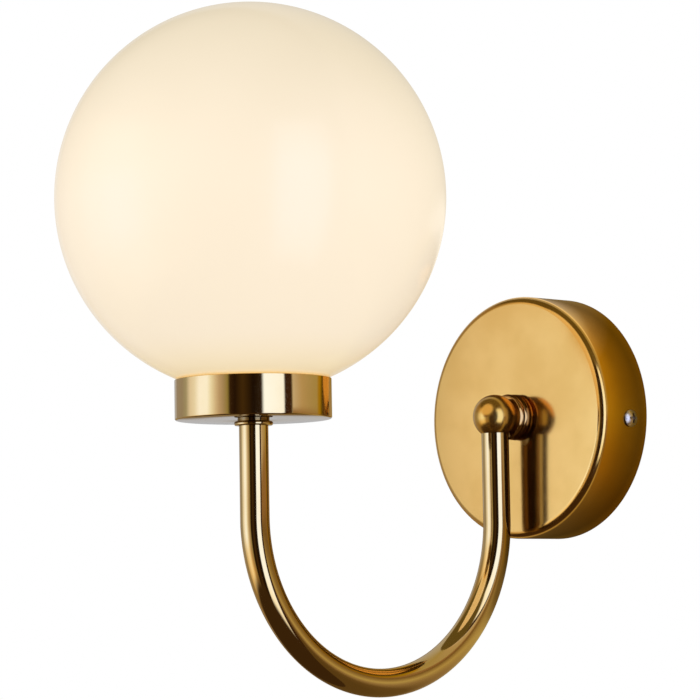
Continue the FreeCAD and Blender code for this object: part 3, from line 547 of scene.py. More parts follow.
def makeBall():
    # a ball with a flat foot, bored from below for its nipple and from behind for the wires
    radius, flat, bore = ball["radius"], ball["flat"], ball["bore"]
    quarter = math.pi / 2
    outline = arc(0.0, 0.0, radius, math.asin(-flat / radius), quarter, 72)
    outline += arc(0.0, 0.0, bore, quarter, 0.0, 40) + [(bore, -flat)]
    middle = Vector((0.0, -ball["out"], 0.0))
    mesh = lathe(outline, middle, steps=144)
    hole = rod(bore, middle, middle + Vector((0.0, radius + 2, 0.0)))
    pieceFromMesh("armBall", carved(mesh, hole), "ballBrass", "arm_ball")


makeCollar()
makeBall()
print("collar and ball made")


arm = dict(out=0.045, foot=0.0083666, leg=0.0426334, bend=0.0775, rise=0.0416,    # in metres
           radius=0.00675, wall=0.0017, steps=260, sides=72)


def treeWithInputs(name, sizes):
    # a geometry tree with a named input for each size and for the material
    kinds = {float: "NodeSocketFloat", int: "NodeSocketInt"}
    rows = [("Geometry", "NodeSocketGeometry")]
    rows += [(label, kinds[type(value)]) for label, value in sizes.items()]
    rows += [("Material", "NodeSocketMaterial")]
    tree = bpy.data.node_groups.new(name, "GeometryNodeTree")
    for label, kind in rows:
        socket = tree.interface.new_socket(label, in_out="INPUT", socket_type=kind)
        if label in sizes:
            socket.default_value = sizes[label]
    tree.interface.new_socket("Geometry", in_out="OUTPUT", socket_type="NodeSocketGeometry")
    graph = Graph(tree)
    entry = tree.nodes.new("NodeGroupInput")
    return graph, {socket.name: Wire(graph, socket) for socket in entry.outputs if socket.name}


def endTree(graph, geometry, material):
    realized = graph.node("GeometryNodeRealizeInstances", {}, {"Geometry": geometry})
    painted = graph.node("GeometryNodeSetMaterial", {}, {"Geometry": realized, "Material": material})
    result = graph.tree.nodes.new("NodeGroupOutput")
    graph.tree.links.new(painted.socket, result.inputs[0])


def grown(tree, values, wall=None, angle=32.0, start=None):
    # runs a geometry tree, on an empty mesh if nothing is given, and gives back its plain mesh
    holder = linked("seed", start or bpy.data.meshes.new("seed"))
    modifier = holder.modifiers.new("grow", "NODES")
    modifier.node_group = tree
    sockets = {item.name: item.identifier for item in tree.interface.items_tree
               if item.item_type == "SOCKET" and item.in_out == "INPUT"}
    for label, value in values.items():
        modifier[sockets[label]] = value
    if wall:
        skin = holder.modifiers.new("wall", "SOLIDIFY")
        having(skin, thickness=wall, offset=-1.0, use_even_offset=True)
    mesh = evaluatedMesh(holder)
    holder.modifiers.clear()
    bpy.data.objects.remove(holder)
    return smoothed(mesh, angle)


def section(graph, given):
    values = {"Resolution": given["Sides"], "Radius": given["Radius"]}
    return graph.node("GeometryNodeCurvePrimitiveCircle", {"mode": "RADIUS"}, values)


def armTree():
    # a circle swept down the rear leg, round the bend and up to the cup
    sizes = {label.capitalize(): value for label, value in arm.items() if label != "wall"}
    graph, given = treeWithInputs("bentTube", sizes)
    line = graph.node("GeometryNodeCurvePrimitiveLine")
    fine = graph.node("GeometryNodeResampleCurve", {}, {"Curve": line, "Count": given["Steps"]})
    factor = graph.node("GeometryNodeSplineParameter")
    arc = given["Bend"] * math.pi
    walked = factor * (given["Leg"] + arc + given["Rise"])
    turned = (walked - given["Leg"]) / given["Bend"]
    angle = graph.least(graph.most(turned, 0.0), math.pi)
    down = graph.least(walked, given["Leg"])
    up = graph.most(walked - given["Leg"] - arc, 0.0)
    y = 0.0 - given["Out"] - given["Bend"] * (1.0 - graph.maths("COSINE", angle))
    z = up - down - given["Foot"] - given["Bend"] * graph.maths("SINE", angle)
    place = graph.joined(0.0, y, z)
    bent = graph.node("GeometryNodeSetPosition", {}, {"Geometry": fine, "Position": place})
    values = {"Curve": bent, "Profile Curve": section(graph, given)}
    swept = graph.node("GeometryNodeCurveToMesh", {}, values)
    endTree(graph, swept, given["Material"])
    return graph.tree


def makeArm():
    mesh = grown(armTree(), {"Material": finishes["tubeBrass"].material}, wall=arm["wall"])
    pieceFromMesh("armTube", mesh, "tubeBrass", "arm_tube")


makeArm()
print("arm made")


front = (0.0, -200.0)
cup = dict(radius=36.0, height=18.5, wall=1.2, edge=0.8, lip=0.36, inside=0.6, foot=-6.6,
           hole=5.25, holeEdge=0.15)
flange = dict(hole=5.25, radius=8.9, height=2.0, edge=0.85, neck=7.3, neckHeight=0.8, neckEdge=0.15,
              foot=-9.4)
gasket = dict(inner=29.8, outer=34.55, plate=1.5, edge=0.3, foot=-5.4)


def makeCup():
    radius, hole, wall = cup["radius"], cup["hole"], cup["wall"]
    outline = roundedOutline([
        (hole, 0.0, cup["holeEdge"]), (radius, 0.0, cup["edge"]),
        (radius, cup["height"], cup["lip"]), (radius - wall, cup["height"], cup["lip"]),
        (radius - wall, wall, cup["inside"]), (hole, wall, cup["holeEdge"]),
    ], 8)
    mesh = lathe(outline, (*front, cup["foot"]), steps=224)
    pieceFromMesh("globeCup", mesh, "cupBrass", "globe_cup")
    top = flange["height"] + flange["neckHeight"]
    outline = roundedOutline([
        (flange["hole"], 0.0, 0.0), (flange["radius"], 0.0, flange["edge"]),
        (flange["radius"], flange["height"], flange["edge"]),
        (flange["neck"], flange["height"], flange["neckEdge"]),
        (flange["neck"], top, 0.0), (flange["hole"], top, 0.0),
    ], 8)
    mesh = lathe(outline, (*front, flange["foot"]), steps=128)
    pieceFromMesh("cupFlange", mesh, "cupBrass", "cup_flange")
    sides = [(gasket["inner"], 0.0), (gasket["outer"], 0.0),
             (gasket["outer"], gasket["plate"]), (gasket["inner"], gasket["plate"])]
    outline = roundedOutline([(*corner, gasket["edge"]) for corner in sides], 4)
    mesh = lathe(outline, (*front, gasket["foot"]), steps=160)
    pieceFromMesh("gasketRing", mesh, "silicone", "globe_gasket")


makeCup()
print("cup, flange and gasket made")


globe = dict(radius=90.0, glass=2.5, neck=33.3, foot=-3.9, lip=0.9, centre=95.4129, blend=2.2)


def blownOutline(sphere, neck, steps):
    # from the pole to the neck's foot, with a small rounding between sphere and neck
    blend, quarter = globe["blend"], math.pi / 2
    middle = globe["centre"] - globe["foot"]
    side = neck + blend
    drop = math.sqrt((sphere + blend) ** 2 - side ** 2)
    meeting = math.atan2(side, drop)
    points = arc(0.0, middle, sphere, quarter, meeting - quarter, steps)
    points += arc(side, middle - drop, blend, meeting + quarter, math.pi, 8)[1:]
    return points + [(neck, globe["lip"])]


def makeGlobe():
    glass, neck, lip = globe["glass"], globe["neck"], globe["lip"]
    outer = blownOutline(globe["radius"], neck, 120)
    inner = blownOutline(globe["radius"] - glass, neck - glass, 96)
    roll = []
    for step in range(1, 12):
        angle = math.pi * step / 12
        roll.append((neck - glass / 2 * (1 - math.cos(angle)), lip * (1 - math.sin(angle))))
    mesh = lathe(outer + roll + inner[::-1], (*front, globe["foot"]), steps=256, closed=False)
    pieceFromMesh("globeGlass", mesh, "opalGlass", "globe", body="glass_globe")


makeGlobe()
print("globe made")


wires = [
    # piece, CAD node, slot, finish, thickness, runs
    ("armFlex", "arm_flex", "flex_sheath", "flexSheath", 4.6, [
        [(0, -21.6, 0), (0, -45, 0), (0, -45, -83.1), (0, -90.4, -128.5), (0, -154.6, -128.5),
         (0, -200, -83.1), (0, -200, -40), (0, -200, 4.2)]]),
    ("liveCore", "live_core", "brown_core", "brownSheath", 1.8, [
        [(-0.94, -21.6, -0.55), (-0.94, -18.6, -0.55), (-8.5, -8, 6), (-8.5, -8, 17)],
        [(-0.94, -200.55, 4.2), (-0.94, -200.55, 5.7), (-7, -200, 9.7), (-7, -200, 14.2)]]),
    ("neutralCore", "neutral_core", "blue_core", "blueSheath", 1.8, [
        [(0, -21.6, 1.09), (0, -17.6, 1.09), (0, -8, 6), (0, -8, 17)],
        [(0.94, -200.55, 4.2), (0.94, -200.55, 5.7), (7, -200, 9.7), (7, -200, 14.2)]]),
    ("earthCore", "earth_core", "earth_core", "greenYellowSheath", 1.8, [
        [(0.94, -21.6, -0.55), (0.94, -16.6, -0.55), (8.5, -8, 6), (8.5, -8, 17)]]),
    ("earthLead", "earth_lead", "earth_core", "greenYellowSheath", 1.8, [
        [(-14, -3.7, 6), (-14, -3.7, 30), (-10, -8, 38), (8.5, -8, 38), (8.5, -8, 24)]]),
]


def wireTree():
    graph, given = treeWithInputs("wireSheath", {"Radius": 0.001, "Sides": 20})
    around = graph.node("GeometryNodeSplineParameter")
    values = {"Geometry": section(graph, given), "Name": "aroundWire", "Value": around}
    kind = {"data_type": "FLOAT", "domain": "POINT"}
    marked = graph.node("GeometryNodeStoreNamedAttribute", kind, values)
    values = {"Curve": given["Geometry"], "Profile Curve": marked, "Fill Caps": True}
    swept = graph.node("GeometryNodeCurveToMesh", {}, values)
    endTree(graph, swept, given["Material"])
    return graph.tree


def makeWires():
    # smooth lines through their routes
    tree = wireTree()
    for name, node, slot, finish, across, runs in wires:
        curve = having(bpy.data.curves.new(name, "CURVE"), dimensions="3D", resolution_u=16)
        for run in runs:
            spline = curve.splines.new("NURBS")
            spline.points.add(len(run) - 1)
            for point, place in zip(spline.points, run):
                point.co = (*(part * mm for part in place), 1.0)
            spline.order_u = 3
            spline.use_endpoint_u = True
        values = {"Radius": across / 2 * mm, "Material": finishes[finish].material}
        pieceFromMesh(name, grown(tree, values, start=curve, angle=50.0), finish, node)


makeWires()
print("wires made")


def threadTree():
    # a grid rolled into a rod or a tube with a true helix on it
    graph, given = treeWithInputs("threadedRod", {
        "Radius": 0.005, "Depth": 0.0005, "Pitch": 0.001, "Length": 0.015, "Bore": 0.0,
        "Chamfer": 0.0006, "Sharpness": 1.3, "Sides": 48, "Rows": 120, "Hollow": 0})
    grid = graph.node("GeometryNodeMeshGrid", {}, {
        "Size X": 1.0, "Size Y": 1.0, "Vertices X": given["Sides"] + 1.0,
        "Vertices Y": given["Rows"] + given["Hollow"] + 2.0})
    x, y, z = graph.split(graph.node("GeometryNodeInputPosition"))
    around = x + 0.5
    row = graph.maths("ROUND", (y + 0.5) * (given["Rows"] + given["Hollow"] + 1.0))
    outside = graph.maths("GREATER_THAN", row, 0.5)
    outside = outside * graph.maths("LESS_THAN", row, given["Rows"] + 0.5)
    along = graph.maths("DIVIDE", row - 1.0, given["Rows"] - 1.0, clamp=True)
    along = along * graph.maths("LESS_THAN", row, given["Rows"] + 1.5)
    height = along * given["Length"]
    phase = graph.maths("FRACT", height / given["Pitch"] - around)
    rise = 1.0 - graph.maths("ABSOLUTE", 2.0 * phase - 1.0)
    ridge = graph.least(given["Sharpness"] * rise, 1.0)
    fade = graph.least(height / given["Chamfer"], 1.0)
    fade = fade * graph.least((given["Length"] - height) / given["Chamfer"], 1.0)
    skin = given["Radius"] - given["Depth"] * (1.0 - ridge * fade)
    radius = skin * outside + given["Bore"] * (1.0 - outside)
    angle = around * (2 * math.pi)
    across, deep = graph.maths("COSINE", angle), graph.maths("SINE", angle)
    place = graph.joined(radius * across, radius * deep, height)
    rolled = graph.node("GeometryNodeSetPosition", {}, {"Geometry": grid, "Position": place})
    values = {"Geometry": rolled, "Distance": 0.000002}
    welded = graph.node("GeometryNodeMergeByDistance", {}, values)
    endTree(graph, welded, given["Material"])
    return graph.tree


threads = threadTree()


def threaded(finish, radius, depth, pitch, length, bore=0.0, sides=48, rows=10, chamfer=0.6,
             sharpness=1.3):
    # along +Z from the origin; rows are those of one turn
    values = {"Radius": radius * mm, "Depth": depth * mm, "Pitch": pitch * mm, "Length": length * mm,
              "Bore": bore * mm, "Chamfer": chamfer * mm, "Sharpness": sharpness, "Sides": sides,
              "Rows": int(rows * length / pitch), "Hollow": 1 if bore else 0,
              "Material": finishes[finish].material}
    return grown(threads, values, angle=40.0)


def moved(mesh, place, outwards=False, sideways=0):
    # puts a mesh made along +Z where it belongs; sideways 1 or -1 lays it along +X or -X
    turn = Matrix.Rotation(math.radians(90), 4, "X") if outwards else Matrix.Identity(4)
    if sideways:
        turn = Matrix.Rotation(math.radians(90 * sideways), 4, "Y")
    mesh.transform(Matrix.Translation(Vector(place) * mm) @ turn)
    return mesh


def joinedMeshes(meshes, angle=32.0):
    form = bmesh.new()
    for mesh in meshes:
        form.from_mesh(mesh)
    return smoothed(meshOf(form, "joined"), angle)


nippleThread = dict(radius=4.98, depth=0.55, pitch=1.0, bore=4.0, sides=96, rows=12)
nipples = [
    # piece, CAD node, length, place, whether it points out of the wall
    ("canopyNippleTube", "canopy_nipple", 15.15, (0, -24.6, 0), True),
    ("ballNippleTube", "ball_nipple", 12.3666, (0, -45, -16.3666), False),
    ("cupNippleTube", "cup_nipple", 20.6, (0, -200, -17.4), False),
]


def makeNipples():
    for name, node, length, place, outwards in nipples:
        tube = threaded("zincSteel", length=length, **nippleThread)
        pieceFromMesh(name, moved(tube, place, outwards), "zincSteel", node)


makeNipples()
print("threaded tubes made")


screws = dict(
    side=dict(thread=4.0, pitch=0.7, length=9.9,
              head=8.5, cap=2.35, edge=0.6, span=5.4, slot=1.35, sink=1.9),
    earth=dict(thread=4.0, pitch=0.7, length=2.5,
               head=7.0, cap=2.4, edge=1.2, span=4.0, slot=1.0, sink=1.3),
    fixing=dict(thread=3.0, pitch=0.5, length=10.5,
                head=4.2, cap=1.8, edge=0.9, span=2.5, slot=0.8, sink=1.0),
    clamp=dict(thread=2.6, pitch=0.45, length=2.4,
               head=3.8, cap=1.6, edge=1.1, span=3.2, slot=0.7, sink=0.9),
)
punchScales = (0.62, 1.12)    # the cross punch at its foot and above the head
punchOver = 0.8


def crossCutter(span, slot, top, sink):
    # cross-shaped punch, narrower at its foot
    half, thin = span / 2, slot / 2
    corner = [(half, -thin), (half, thin), (thin, thin)]
    for quarter in range(3):
        corner += [(-y, x) for x, y in corner[-3:]]
    form = bmesh.new()
    rings = []
    for scale, height in zip(punchScales, (top - sink, top + punchOver)):
        places = [(x * scale * mm, y * scale * mm, height * mm) for x, y in corner]
        rings.append([form.verts.new(place) for place in places])
    count = len(corner)
    for index in range(count):
        following = (index + 1) % count
        form.faces.new((rings[0][index], rings[0][following], rings[1][following], rings[1][index]))
    form.faces.new(rings[0][::-1])
    form.faces.new(rings[1])
    bmesh.ops.recalc_face_normals(form, faces=form.faces)
    return meshOf(form, "punch")


def screwMesh(kind, finish):
    # a low domed head with a cross recess, over a cut thread; Z = 0 is under the head
    size = screws[kind]
    across = size["head"] / 2
    neck = size["thread"] / 2 - 0.3
    crown = size["cap"] - size["edge"]
    dome = (across ** 2 + crown ** 2) / (2 * crown)
    outline = [(0.0, 0.0)] + roundedOutline([
        (neck, 0.0, 0.0), (across, 0.0, 0.15), (across, size["edge"], 0.25),
        (neck, size["edge"] + 0.3, 0.0)], 4)[:-1]
    reach = math.asin((across - 0.2) / dome)
    quarter = math.pi / 2
    outline += arc(0.0, size["cap"] - dome, dome, quarter - reach, quarter, 14)
    head = lathe(outline, steps=64, closed=False)
    head = carved(head, crossCutter(size["span"], size["slot"], size["cap"], size["sink"]))
    shank = threaded(finish, size["thread"] / 2 - 0.02, size["pitch"] * 0.55, size["pitch"],
                     size["length"] + 0.1, sides=32, rows=8, chamfer=0.5)
    shank.transform(Matrix.Translation((0.0, 0.0, -size["length"] * mm)))
    return joinedMeshes([head, shank])


def copyTree():
    # copies of what comes in, in rows along X and Y
    graph, given = treeWithInputs("rowsOfCopies", {
        "Across": 3, "Up": 2, "Step across": 0.0085, "Step up": 0.007})
    lines = []
    for count, step, axis in (("Across", "Step across", 0), ("Up", "Step up", 1)):
        start = (given[count] - 1.0) * given[step] * -0.5
        first = [start if part == axis else 0.0 for part in range(3)]
        offset = [given[step] if part == axis else 0.0 for part in range(3)]
        values = {"Count": given[count], "Start Location": graph.joined(*first),
                  "Offset": graph.joined(*offset)}
        lines.append(graph.node("GeometryNodeMeshLine", {"mode": "OFFSET"}, values))
    field = {"Points": lines[0], "Instance": lines[1]}
    field = graph.node("GeometryNodeInstanceOnPoints", {}, field)
    field = graph.node("GeometryNodeRealizeInstances", {}, {"Geometry": field})
    copies = {"Points": field, "Instance": given["Geometry"]}
    copies = graph.node("GeometryNodeInstanceOnPoints", {}, copies)
    endTree(graph, copies, given["Material"])
    return graph.tree


def makeScrews():
    pair = []
    for side in (1, -1):
        place = (side * canopy["radius"], -canopy["screwHeight"], -canopy["screwDrop"])
        pair.append(moved(screwMesh("side", "screwNickel"), place, sideways=side))
    pieceFromMesh("sideScrewPair", joinedMeshes(pair), "screwNickel",
                  "canopy_side_screws")
    earth = moved(screwMesh("earth", "zincSteel"), (-14, -2.8, 0), outwards=True)
    pieceFromMesh("earthPanScrew", earth, "zincSteel", "earth_screw")
    fixing = moved(screwMesh("fixing", "zincSteel"), (4.25, -10.75, 20.5), outwards=True)
    pieceFromMesh("blockFixingScrew", fixing, "zincSteel", "terminal_fixing_screw")
    values = {"Material": finishes["zincSteel"].material}
    clamps = grown(copyTree(), values, start=screwMesh("clamp", "zincSteel"))
    clamps = moved(clamps, (0, -11.4, 20.5), outwards=True)
    pieceFromMesh("clampScrews", clamps, "zincSteel", "terminal_screws")


makeScrews()
print("screws made")


bulb = dict(
    capRadius=13.0, capFoot=25.2, capThread=17.0, ridge=0.8, pitch=3.6, bore=11.4, capEnd=45.2,
    waist=12.25, waistHeight=0.8,    # plain rim over the thread
    crimp=12.9, crimpStart=1.1,      # rolled edge that grips the body
    bodyFoot=12.6, bodyTop=61.2, mouth=18.0,
    flare=0.9, seam=0.7,             # how full the body's curve is, and the step under the diffuser
)
sleeve = dict(bore=15.55, radius=17.35, ridge=0.55, pitch=2.5, foot=11.2, flangeFoot=17.2,
              flangeTop=20.2, flange=19.0, top=41.2, overlap=0.1)


def makeBulb():
    # screw cap: rolled thread, then a plain rim crimped on the body
    bore, crimp, waist, end = bulb["bore"], bulb["crimp"], bulb["waist"], bulb["capEnd"]
    thread = threaded("nickelSteel", bulb["capRadius"], bulb["ridge"], bulb["pitch"],
                      bulb["capThread"], bore=bore, sides=96, rows=16, chamfer=1.4, sharpness=1.15)
    thread = moved(thread, (0, 0, bulb["capFoot"]))
    foot = bulb["capFoot"] + bulb["capThread"] - 0.05
    rim = lathe(roundedOutline([
        (bore, foot, 0.0), (waist, foot, 0.0), (waist, foot + bulb["waistHeight"], 0.3),
        (crimp, foot + bulb["crimpStart"], 0.3), (crimp, end, 0.25), (bore, end, 0.0)], 4), steps=96)
    cap = moved(joinedMeshes([thread, rim], 50.0), (*front, 0))
    pieceFromMesh("bulbScrewCap", cap, "nickelSteel", "bulb_cap", body="lamp_bulb")
    # body: flares in a soft curve from the cap to a step under the diffuser
    mouth, top = bulb["mouth"], bulb["bodyTop"]
    outline = [(0.0, end), (bulb["bodyFoot"], end)]
    steps = 16
    for step in range(steps + 1):
        share = step / steps
        curve = (0.5 - 0.5 * math.cos(math.pi * share)) ** bulb["flare"]
        height = end + 0.4 + (top - end - 2.2) * share
        outline.append((crimp + (mouth - 0.35 - crimp) * curve, height))
    seam = mouth - bulb["seam"]
    outline += [(seam, top - 1.6), (seam, top - 1.2), (mouth - 0.05, top - 1.0),
                (mouth - 0.05, top - 0.15), (mouth - 0.2, top), (0.0, top)]
    shell = lathe(outline, (*front, 0), steps=96, closed=False)
    pieceFromMesh("bulbBodyShell", shell, "whitePlastic", "bulb_body",
                  body="lamp_bulb")


def makeSleeve():
    # threaded outside, with a shade flange low down
    bore, radius, start = sleeve["bore"], sleeve["radius"], sleeve["flangeTop"]
    thread = threaded("blackPlastic", radius, sleeve["ridge"], sleeve["pitch"],
                      sleeve["top"] - start + sleeve["overlap"], bore=bore, sides=96, chamfer=1.2)
    thread = moved(thread, (0, 0, start - sleeve["overlap"]))
    foot = lathe(roundedOutline([
        (bore, sleeve["foot"], 0.3), (radius, sleeve["foot"], 0.5),
        (radius, sleeve["flangeFoot"], 0.0), (sleeve["flange"], sleeve["flangeFoot"], 0.3),
        (sleeve["flange"], start, 0.6), (radius - 0.7, start, 0.0), (bore, start, 0.0)], 5), steps=96)
    mesh = moved(joinedMeshes([thread, foot], 40.0), (*front, 0))
    pieceFromMesh("threadedSleeve", mesh, "blackPlastic", "holder_sleeve")


makeBulb()
makeSleeve()
print("bulb and sleeve made")


eased = [
    # CAD node, piece, slot, finish, edge in millimetres
    ("wall_bracket", "wallBracketStrap", "zinc_steel", "zincSteel", 0.30),
    ("terminal_block", "terminalHousing", "white_plastic", "whitePlastic", 0.35),
    ("terminal_inserts", "brassInserts", "raw_brass", "rawBrass", 0.15),
    ("canopy_locknut", "canopyHexNut", "zinc_steel", "zincSteel", 0.25),
    ("cup_locknut", "cupHexNut", "zinc_steel", "zincSteel", 0.25),
    ("canopy_tooth_washer", "toothedWasher", "zinc_steel", "zincSteel", 0.12),
    ("earth_ring_terminal", "crimpedRing", "tinned_copper", "tinnedCopper", 0.12),
    ("globe_clip", "springClip", "spring_steel", "springSteel", 0.12),
    ("holder_cap", "holderCapShell", "black_plastic", "blackPlastic", 0.4),
]


def makeEased():
    # pressed, cast and cut pieces: their own solids with the sharp edges taken off
    for node, name, slot, finish, edge in eased:
        form = bmesh.new()
        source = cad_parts[node]
        form.from_mesh(source.data)
        form.transform(source.matrix_world)
        bmesh.ops.remove_doubles(form, verts=form.verts, dist=0.000002)
        flat = math.radians(1.0)
        bmesh.ops.dissolve_limit(form, angle_limit=flat, verts=form.verts, edges=form.edges)
        holder = linked("eased", smoothed(meshOf(form, "eased"), 40.0))
        bevel = holder.modifiers.new("edges", "BEVEL")
        having(bevel, width=edge * mm, segments=2, limit_method="ANGLE",
               angle_limit=math.radians(35), use_clamp_overlap=True, harden_normals=True)
        result = evaluatedMesh(holder)
        bpy.data.objects.remove(holder)
        pieceFromMesh(name, result, finish, node)


makeEased()
print("eased pieces made:", len(eased))


studio = dict(                       # in metres
    floorHeight=-0.62, floorReach=12.0, floorTone=(0.86, 0.86, 0.85),
    floorShade=0.35,                 # how much of the shown floor is its own lit paper
    background=1.0, ambient=0.62,
)


def makeWorld():
    world = bpy.data.worlds.new("studioWorld")
    scene.world = world
    world.use_nodes = True
    graph = Graph(world.node_tree)
    strength = studio["ambient"] + (studio["background"] - studio["ambient"]) * graph.seen()
    shader = world.node_tree.nodes["Background"]
    shader.inputs["Color"].default_value = (1.0, 1.0, 1.0, 1.0)
    world.node_tree.links.new(strength.socket, shader.inputs["Strength"])


def floorPaper():
    # matt paper; to the eye and in a mirror it is mostly plain white, with the shadows kept
    made = Finish("floorPaper", colour=rgba(studio["floorTone"]), rough=0.9, specular=0.0)
    white = made.node("ShaderNodeEmission", {}, {"Color": (1.0, 1.0, 1.0, 1.0), "Strength": 1.0})
    lit = Wire(made, made.shader.outputs[0])
    share = made.seen() * (1.0 - studio["floorShade"])
    made.show(made.node("ShaderNodeMixShader", {}, {0: share, 1: lit, 2: white}))
    return made.material


def makeFloor():
    form = bmesh.new()
    bmesh.ops.create_circle(form, cap_ends=True, segments=96, radius=studio["floorReach"])
    form.transform(Matrix.Translation((0.0, 0.0, studio["floorHeight"])))
    floor = linked("floor", meshOf(form, "floor"))
    floor.data.materials.append(floorPaper())


def makeFlat(name, mesh, paint):
    # a flat with a light of its own that only what shines can see, dimmer in a mirror's mirror as
    # painted shade
    made = Finish(name)
    made.tree.nodes.remove(made.shader)
    bounces = made.node("ShaderNodeLightPath", output="Glossy Depth")
    values = {"Color": paint(made), "Strength": mirrored["mirrorShade"] ** (bounces - 1.0)}
    made.show(made.node("ShaderNodeEmission", {}, values))
    mesh.materials.append(made.material)
    flat = linked(name, mesh)
    having(flat, visible_camera=False, visible_diffuse=False, visible_shadow=False,
           visible_transmission=False, visible_volume_scatter=False)


# What the brass mirrors, by bearing in degrees from +X, seen from above. The dome stands
# nearer on the left of the object than on its right.
mirrored = dict(
    lamp=(0.0, -0.2, 0.0), middle=(0.625, -0.35, 0.0), size=(1.825, 1.6, 0.6),
    around=[
        (-180, (0.36, 0.34, 0.32)), (-166, (0.36, 0.35, 0.36)), (-154, (0.42, 0.46, 0.46)),
        (-144, (0.88, 0.94, 1.20)), (-134, (0.98, 1.12, 1.52)), (-124, (1.20, 1.48, 2.50)),
        (-110, (1.20, 1.50, 2.50)), (-103, (1.00, 1.16, 1.50)), (-96, (0.78, 0.78, 0.88)),
        (-90, (0.60, 0.54, 0.55)), (-84, (0.46, 0.41, 0.38)), (-77, (0.33, 0.31, 0.14)),
        (-74, (0.04, 0.02, 0.01)), (-66, (0.02, 0.01, 0.005)), (-55, (0.06, 0.035, 0.012)),
        (-40, (0.012, 0.006, 0.003)), (-28, (0.03, 0.018, 0.01)), (-24, (1.24, 1.66, 3.20)),
        (5, (1.24, 1.60, 2.90)), (7, (0.04, 0.018, 0.01)), (17, (0.05, 0.022, 0.01)),
        (20, (0.60, 0.60, 0.60)), (100, (0.22, 0.12, 0.04)), (180, (0.36, 0.34, 0.32)),
    ],
    # painted shade: a tone mirrored once more is dimmed by this share, which darkens the brass parts
    # where they mirror each other
    mirrorShade=0.38,                      # what is left of a tone that is mirrored once more
    steep=(1.0, 0.88, 0.66), steepBand=(14.0, 34.0),    # warmer and darker high up and low down
    leftSteep=(0.92, 0.78, 0.54), leftSteepBand=(8.0, 20.0),    # sooner on the left
    leftEdge=(-90.0, -79.2),
    ceiling=(0.14, 0.11, 0.035), ceilingBand=(34.0, 42.0),
    ground=(0.05, 0.028, 0.012), groundBand=(-42.0, -30.0),
)


def domeTones(graph):
    # tones by bearing, darker over the object and under it
    x, y, z = graph.split(graph.centred(mirrored["lamp"]))
    degrees = 180 / math.pi
    bearing = graph.maths("ARCTAN2", y, x) * degrees
    rise = graph.maths("ARCTAN2", z, graph.maths("SQRT", x * x + y * y)) * degrees
    slope = graph.maths("ABSOLUTE", rise)
    tone = graph.toned(bearing, -180, 180, mirrored["around"])
    steep = graph.band(slope, *mirrored["steepBand"])
    tone = graph.blend(steep, tone, graph.tinted(tone, rgba(mirrored["steep"])))
    left = graph.band(bearing, *mirrored["leftEdge"], 1.0, 0.0)
    left = left * graph.band(slope, *mirrored["leftSteepBand"])
    tone = graph.blend(left, tone, graph.tinted(tone, rgba(mirrored["leftSteep"])))
    tone = graph.blend(graph.band(rise, *mirrored["ceilingBand"]), tone, rgba(mirrored["ceiling"]))
    under = graph.band(rise, *mirrored["groundBand"], 1.0, 0.0)
    return graph.blend(under, tone, rgba(mirrored["ground"]))


def makeDome():
    form = bmesh.new()
    bmesh.ops.create_uvsphere(form, u_segments=128, v_segments=64, radius=1.0)
    size = Matrix.Diagonal((*mirrored["size"], 1.0))
    form.transform(Matrix.Translation(mirrored["middle"]) @ size)
    mesh = meshOf(form, "studioDome")
    for face in mesh.polygons:
        face.use_smooth = True
    makeFlat("studioDome", mesh, domeTones)


wallBoard = dict(
    right=0.62, top=1.4, foot=-1.2, left=-1.6, out=0.002,
    # from left to right
    across=[(-0.60, (0.50, 0.52, 0.56)), (-0.15, (0.50, 0.52, 0.56)), (0.10, (0.45, 0.40, 0.20)),
            (0.20, (0.49, 0.43, 0.28)), (0.31, (0.55, 0.46, 0.33)), (0.54, (0.65, 0.62, 0.64))],
    acrossReach=0.6,
    lowRight=(0.32, 0.20, 0.10), lowRightBand=(-0.014, 0.008), rightBand=(-0.10, 0.10),
    # by height, under the canopy's middle: painted shade low down, with one lighter band
    low=[(-0.33, (0.12, 0.08, 0.03)), (-0.23, (0.15, 0.10, 0.04)), (-0.17, (0.33, 0.25, 0.14)),
         (-0.125, (0.52, 0.45, 0.22)), (-0.09, (0.36, 0.28, 0.13)), (-0.05, (0.20, 0.13, 0.05))],
    lowReach=0.4, lowBand=(-0.052, -0.032),
    # by height, the canopy's painted shadow, with a gain by distance from its middle
    shade=[(-0.08, (0.09, 0.065, 0.025)), (-0.05, (0.16, 0.09, 0.006)), (0.0, (0.22, 0.145, 0.006)),
           (0.05, (0.25, 0.155, 0.007)), (0.066, (0.36, 0.27, 0.12)), (0.076, (0.56, 0.53, 0.45))],
    shadeGain=[(0.060, 0.75), (0.066, 0.50), (0.078, 1.0), (0.090, 1.9)],
    shadeBand=(0.098, 0.125),
)


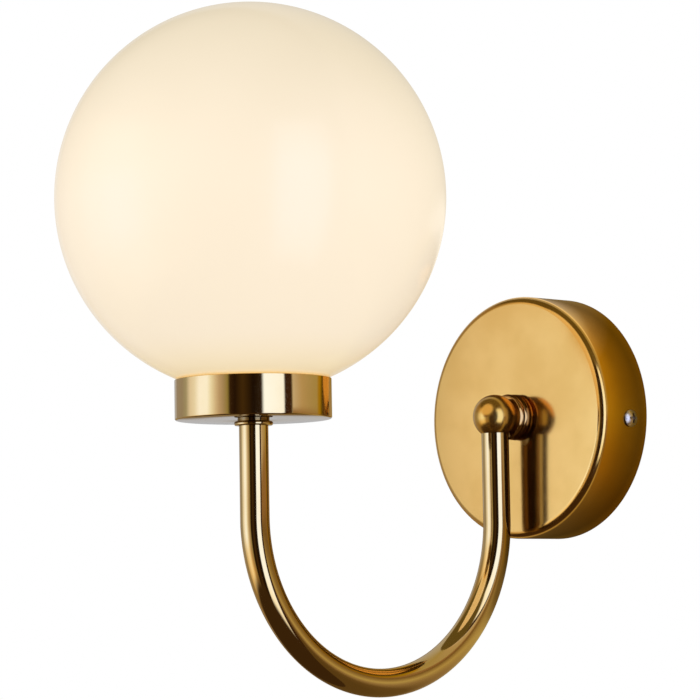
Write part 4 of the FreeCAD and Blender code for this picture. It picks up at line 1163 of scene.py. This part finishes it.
def boardTones(graph):
    # painted shade: the canopy's shadow in the middle, and darker low down under the lamp
    look = wallBoard
    x, y, z = graph.split(graph.object)
    warm = graph.toned(x, -look["acrossReach"], look["acrossReach"], look["across"])
    right = graph.band(x, *look["rightBand"]) * graph.band(z, *look["lowRightBand"], 1.0, 0.0)
    warm = graph.blend(right, warm, rgba(look["lowRight"]))
    lower = graph.band(z, *look["lowBand"], 1.0, 0.0)
    warm = graph.blend(lower, warm, graph.toned(z, -look["lowReach"], 0.0, look["low"]))
    reach = look["shadeBand"][1]
    far = graph.maths("SQRT", x * x + z * z)
    gains = [(distance, (gain, gain, gain)) for distance, gain in look["shadeGain"]]
    shade = graph.toned(z, -reach, reach, look["shade"])
    shade = graph.tinted(shade, graph.toned(far, 0.0, reach, gains))
    return graph.blend(graph.band(far, *look["shadeBand"]), shade, warm)


def makeBoard():
    # the flat behind the object, with the canopy's shadow and the shade under the lamp painted on it
    mesh = bpy.data.meshes.new("studioBoard")
    left, right, out = wallBoard["left"], wallBoard["right"], wallBoard["out"]
    foot, top = wallBoard["foot"], wallBoard["top"]
    corners = [(left, out, foot), (right, out, foot), (right, out, top), (left, out, top)]
    mesh.from_pydata(corners, [], [(0, 1, 2, 3)])
    makeFlat("studioBoard", mesh, boardTones)


lamps = [
    dict(name="keyLamp", place=(-0.9, -1.5, 1.1), size=(0.9, 1.1), power=6.0),
    dict(name="fillLamp", place=(1.6, -0.6, 0.7), size=(0.5, 1.1), power=3.0),
]


def makeLamps():
    # soft lamps turned to the object's middle
    target = Vector((0.0, -0.15, 0.0))
    for lamp in lamps:
        wide, high = lamp["size"]
        data = bpy.data.lights.new(lamp["name"], "AREA")
        having(data, shape="RECTANGLE", size=wide, size_y=high, energy=lamp["power"])
        turn = (target - Vector(lamp["place"])).to_track_quat("-Z", "Y")
        having(linked(lamp["name"], data), location=lamp["place"], rotation_mode="QUATERNION",
               rotation_quaternion=turn, visible_glossy=False)


camera = dict(
    place=(0.97654418, -1.01336086, -0.09231385),
    right=(0.66534597, 0.74636022, -0.01616049),
    up=(0.07916382, -0.04901259, 0.99565599),
    lens=143.2137, sensor=36.0,
)


def makeCamera():
    data = having(bpy.data.cameras.new("camera"), lens=camera["lens"], sensor_width=camera["sensor"])
    made = linked("camera", data)
    right = Vector(camera["right"]).normalized()
    up = Vector(camera["up"])
    up = (up - right * up.dot(right)).normalized()
    back = right.cross(up)
    turn = Matrix((right, up, back)).transposed().to_4x4()
    made.matrix_world = Matrix.Translation(camera["place"]) @ turn
    scene.camera = made


makeWorld()
makeFloor()
makeDome()
makeBoard()
makeLamps()
makeCamera()
scene.view_settings.view_transform = "Standard"
print("studio and camera made")
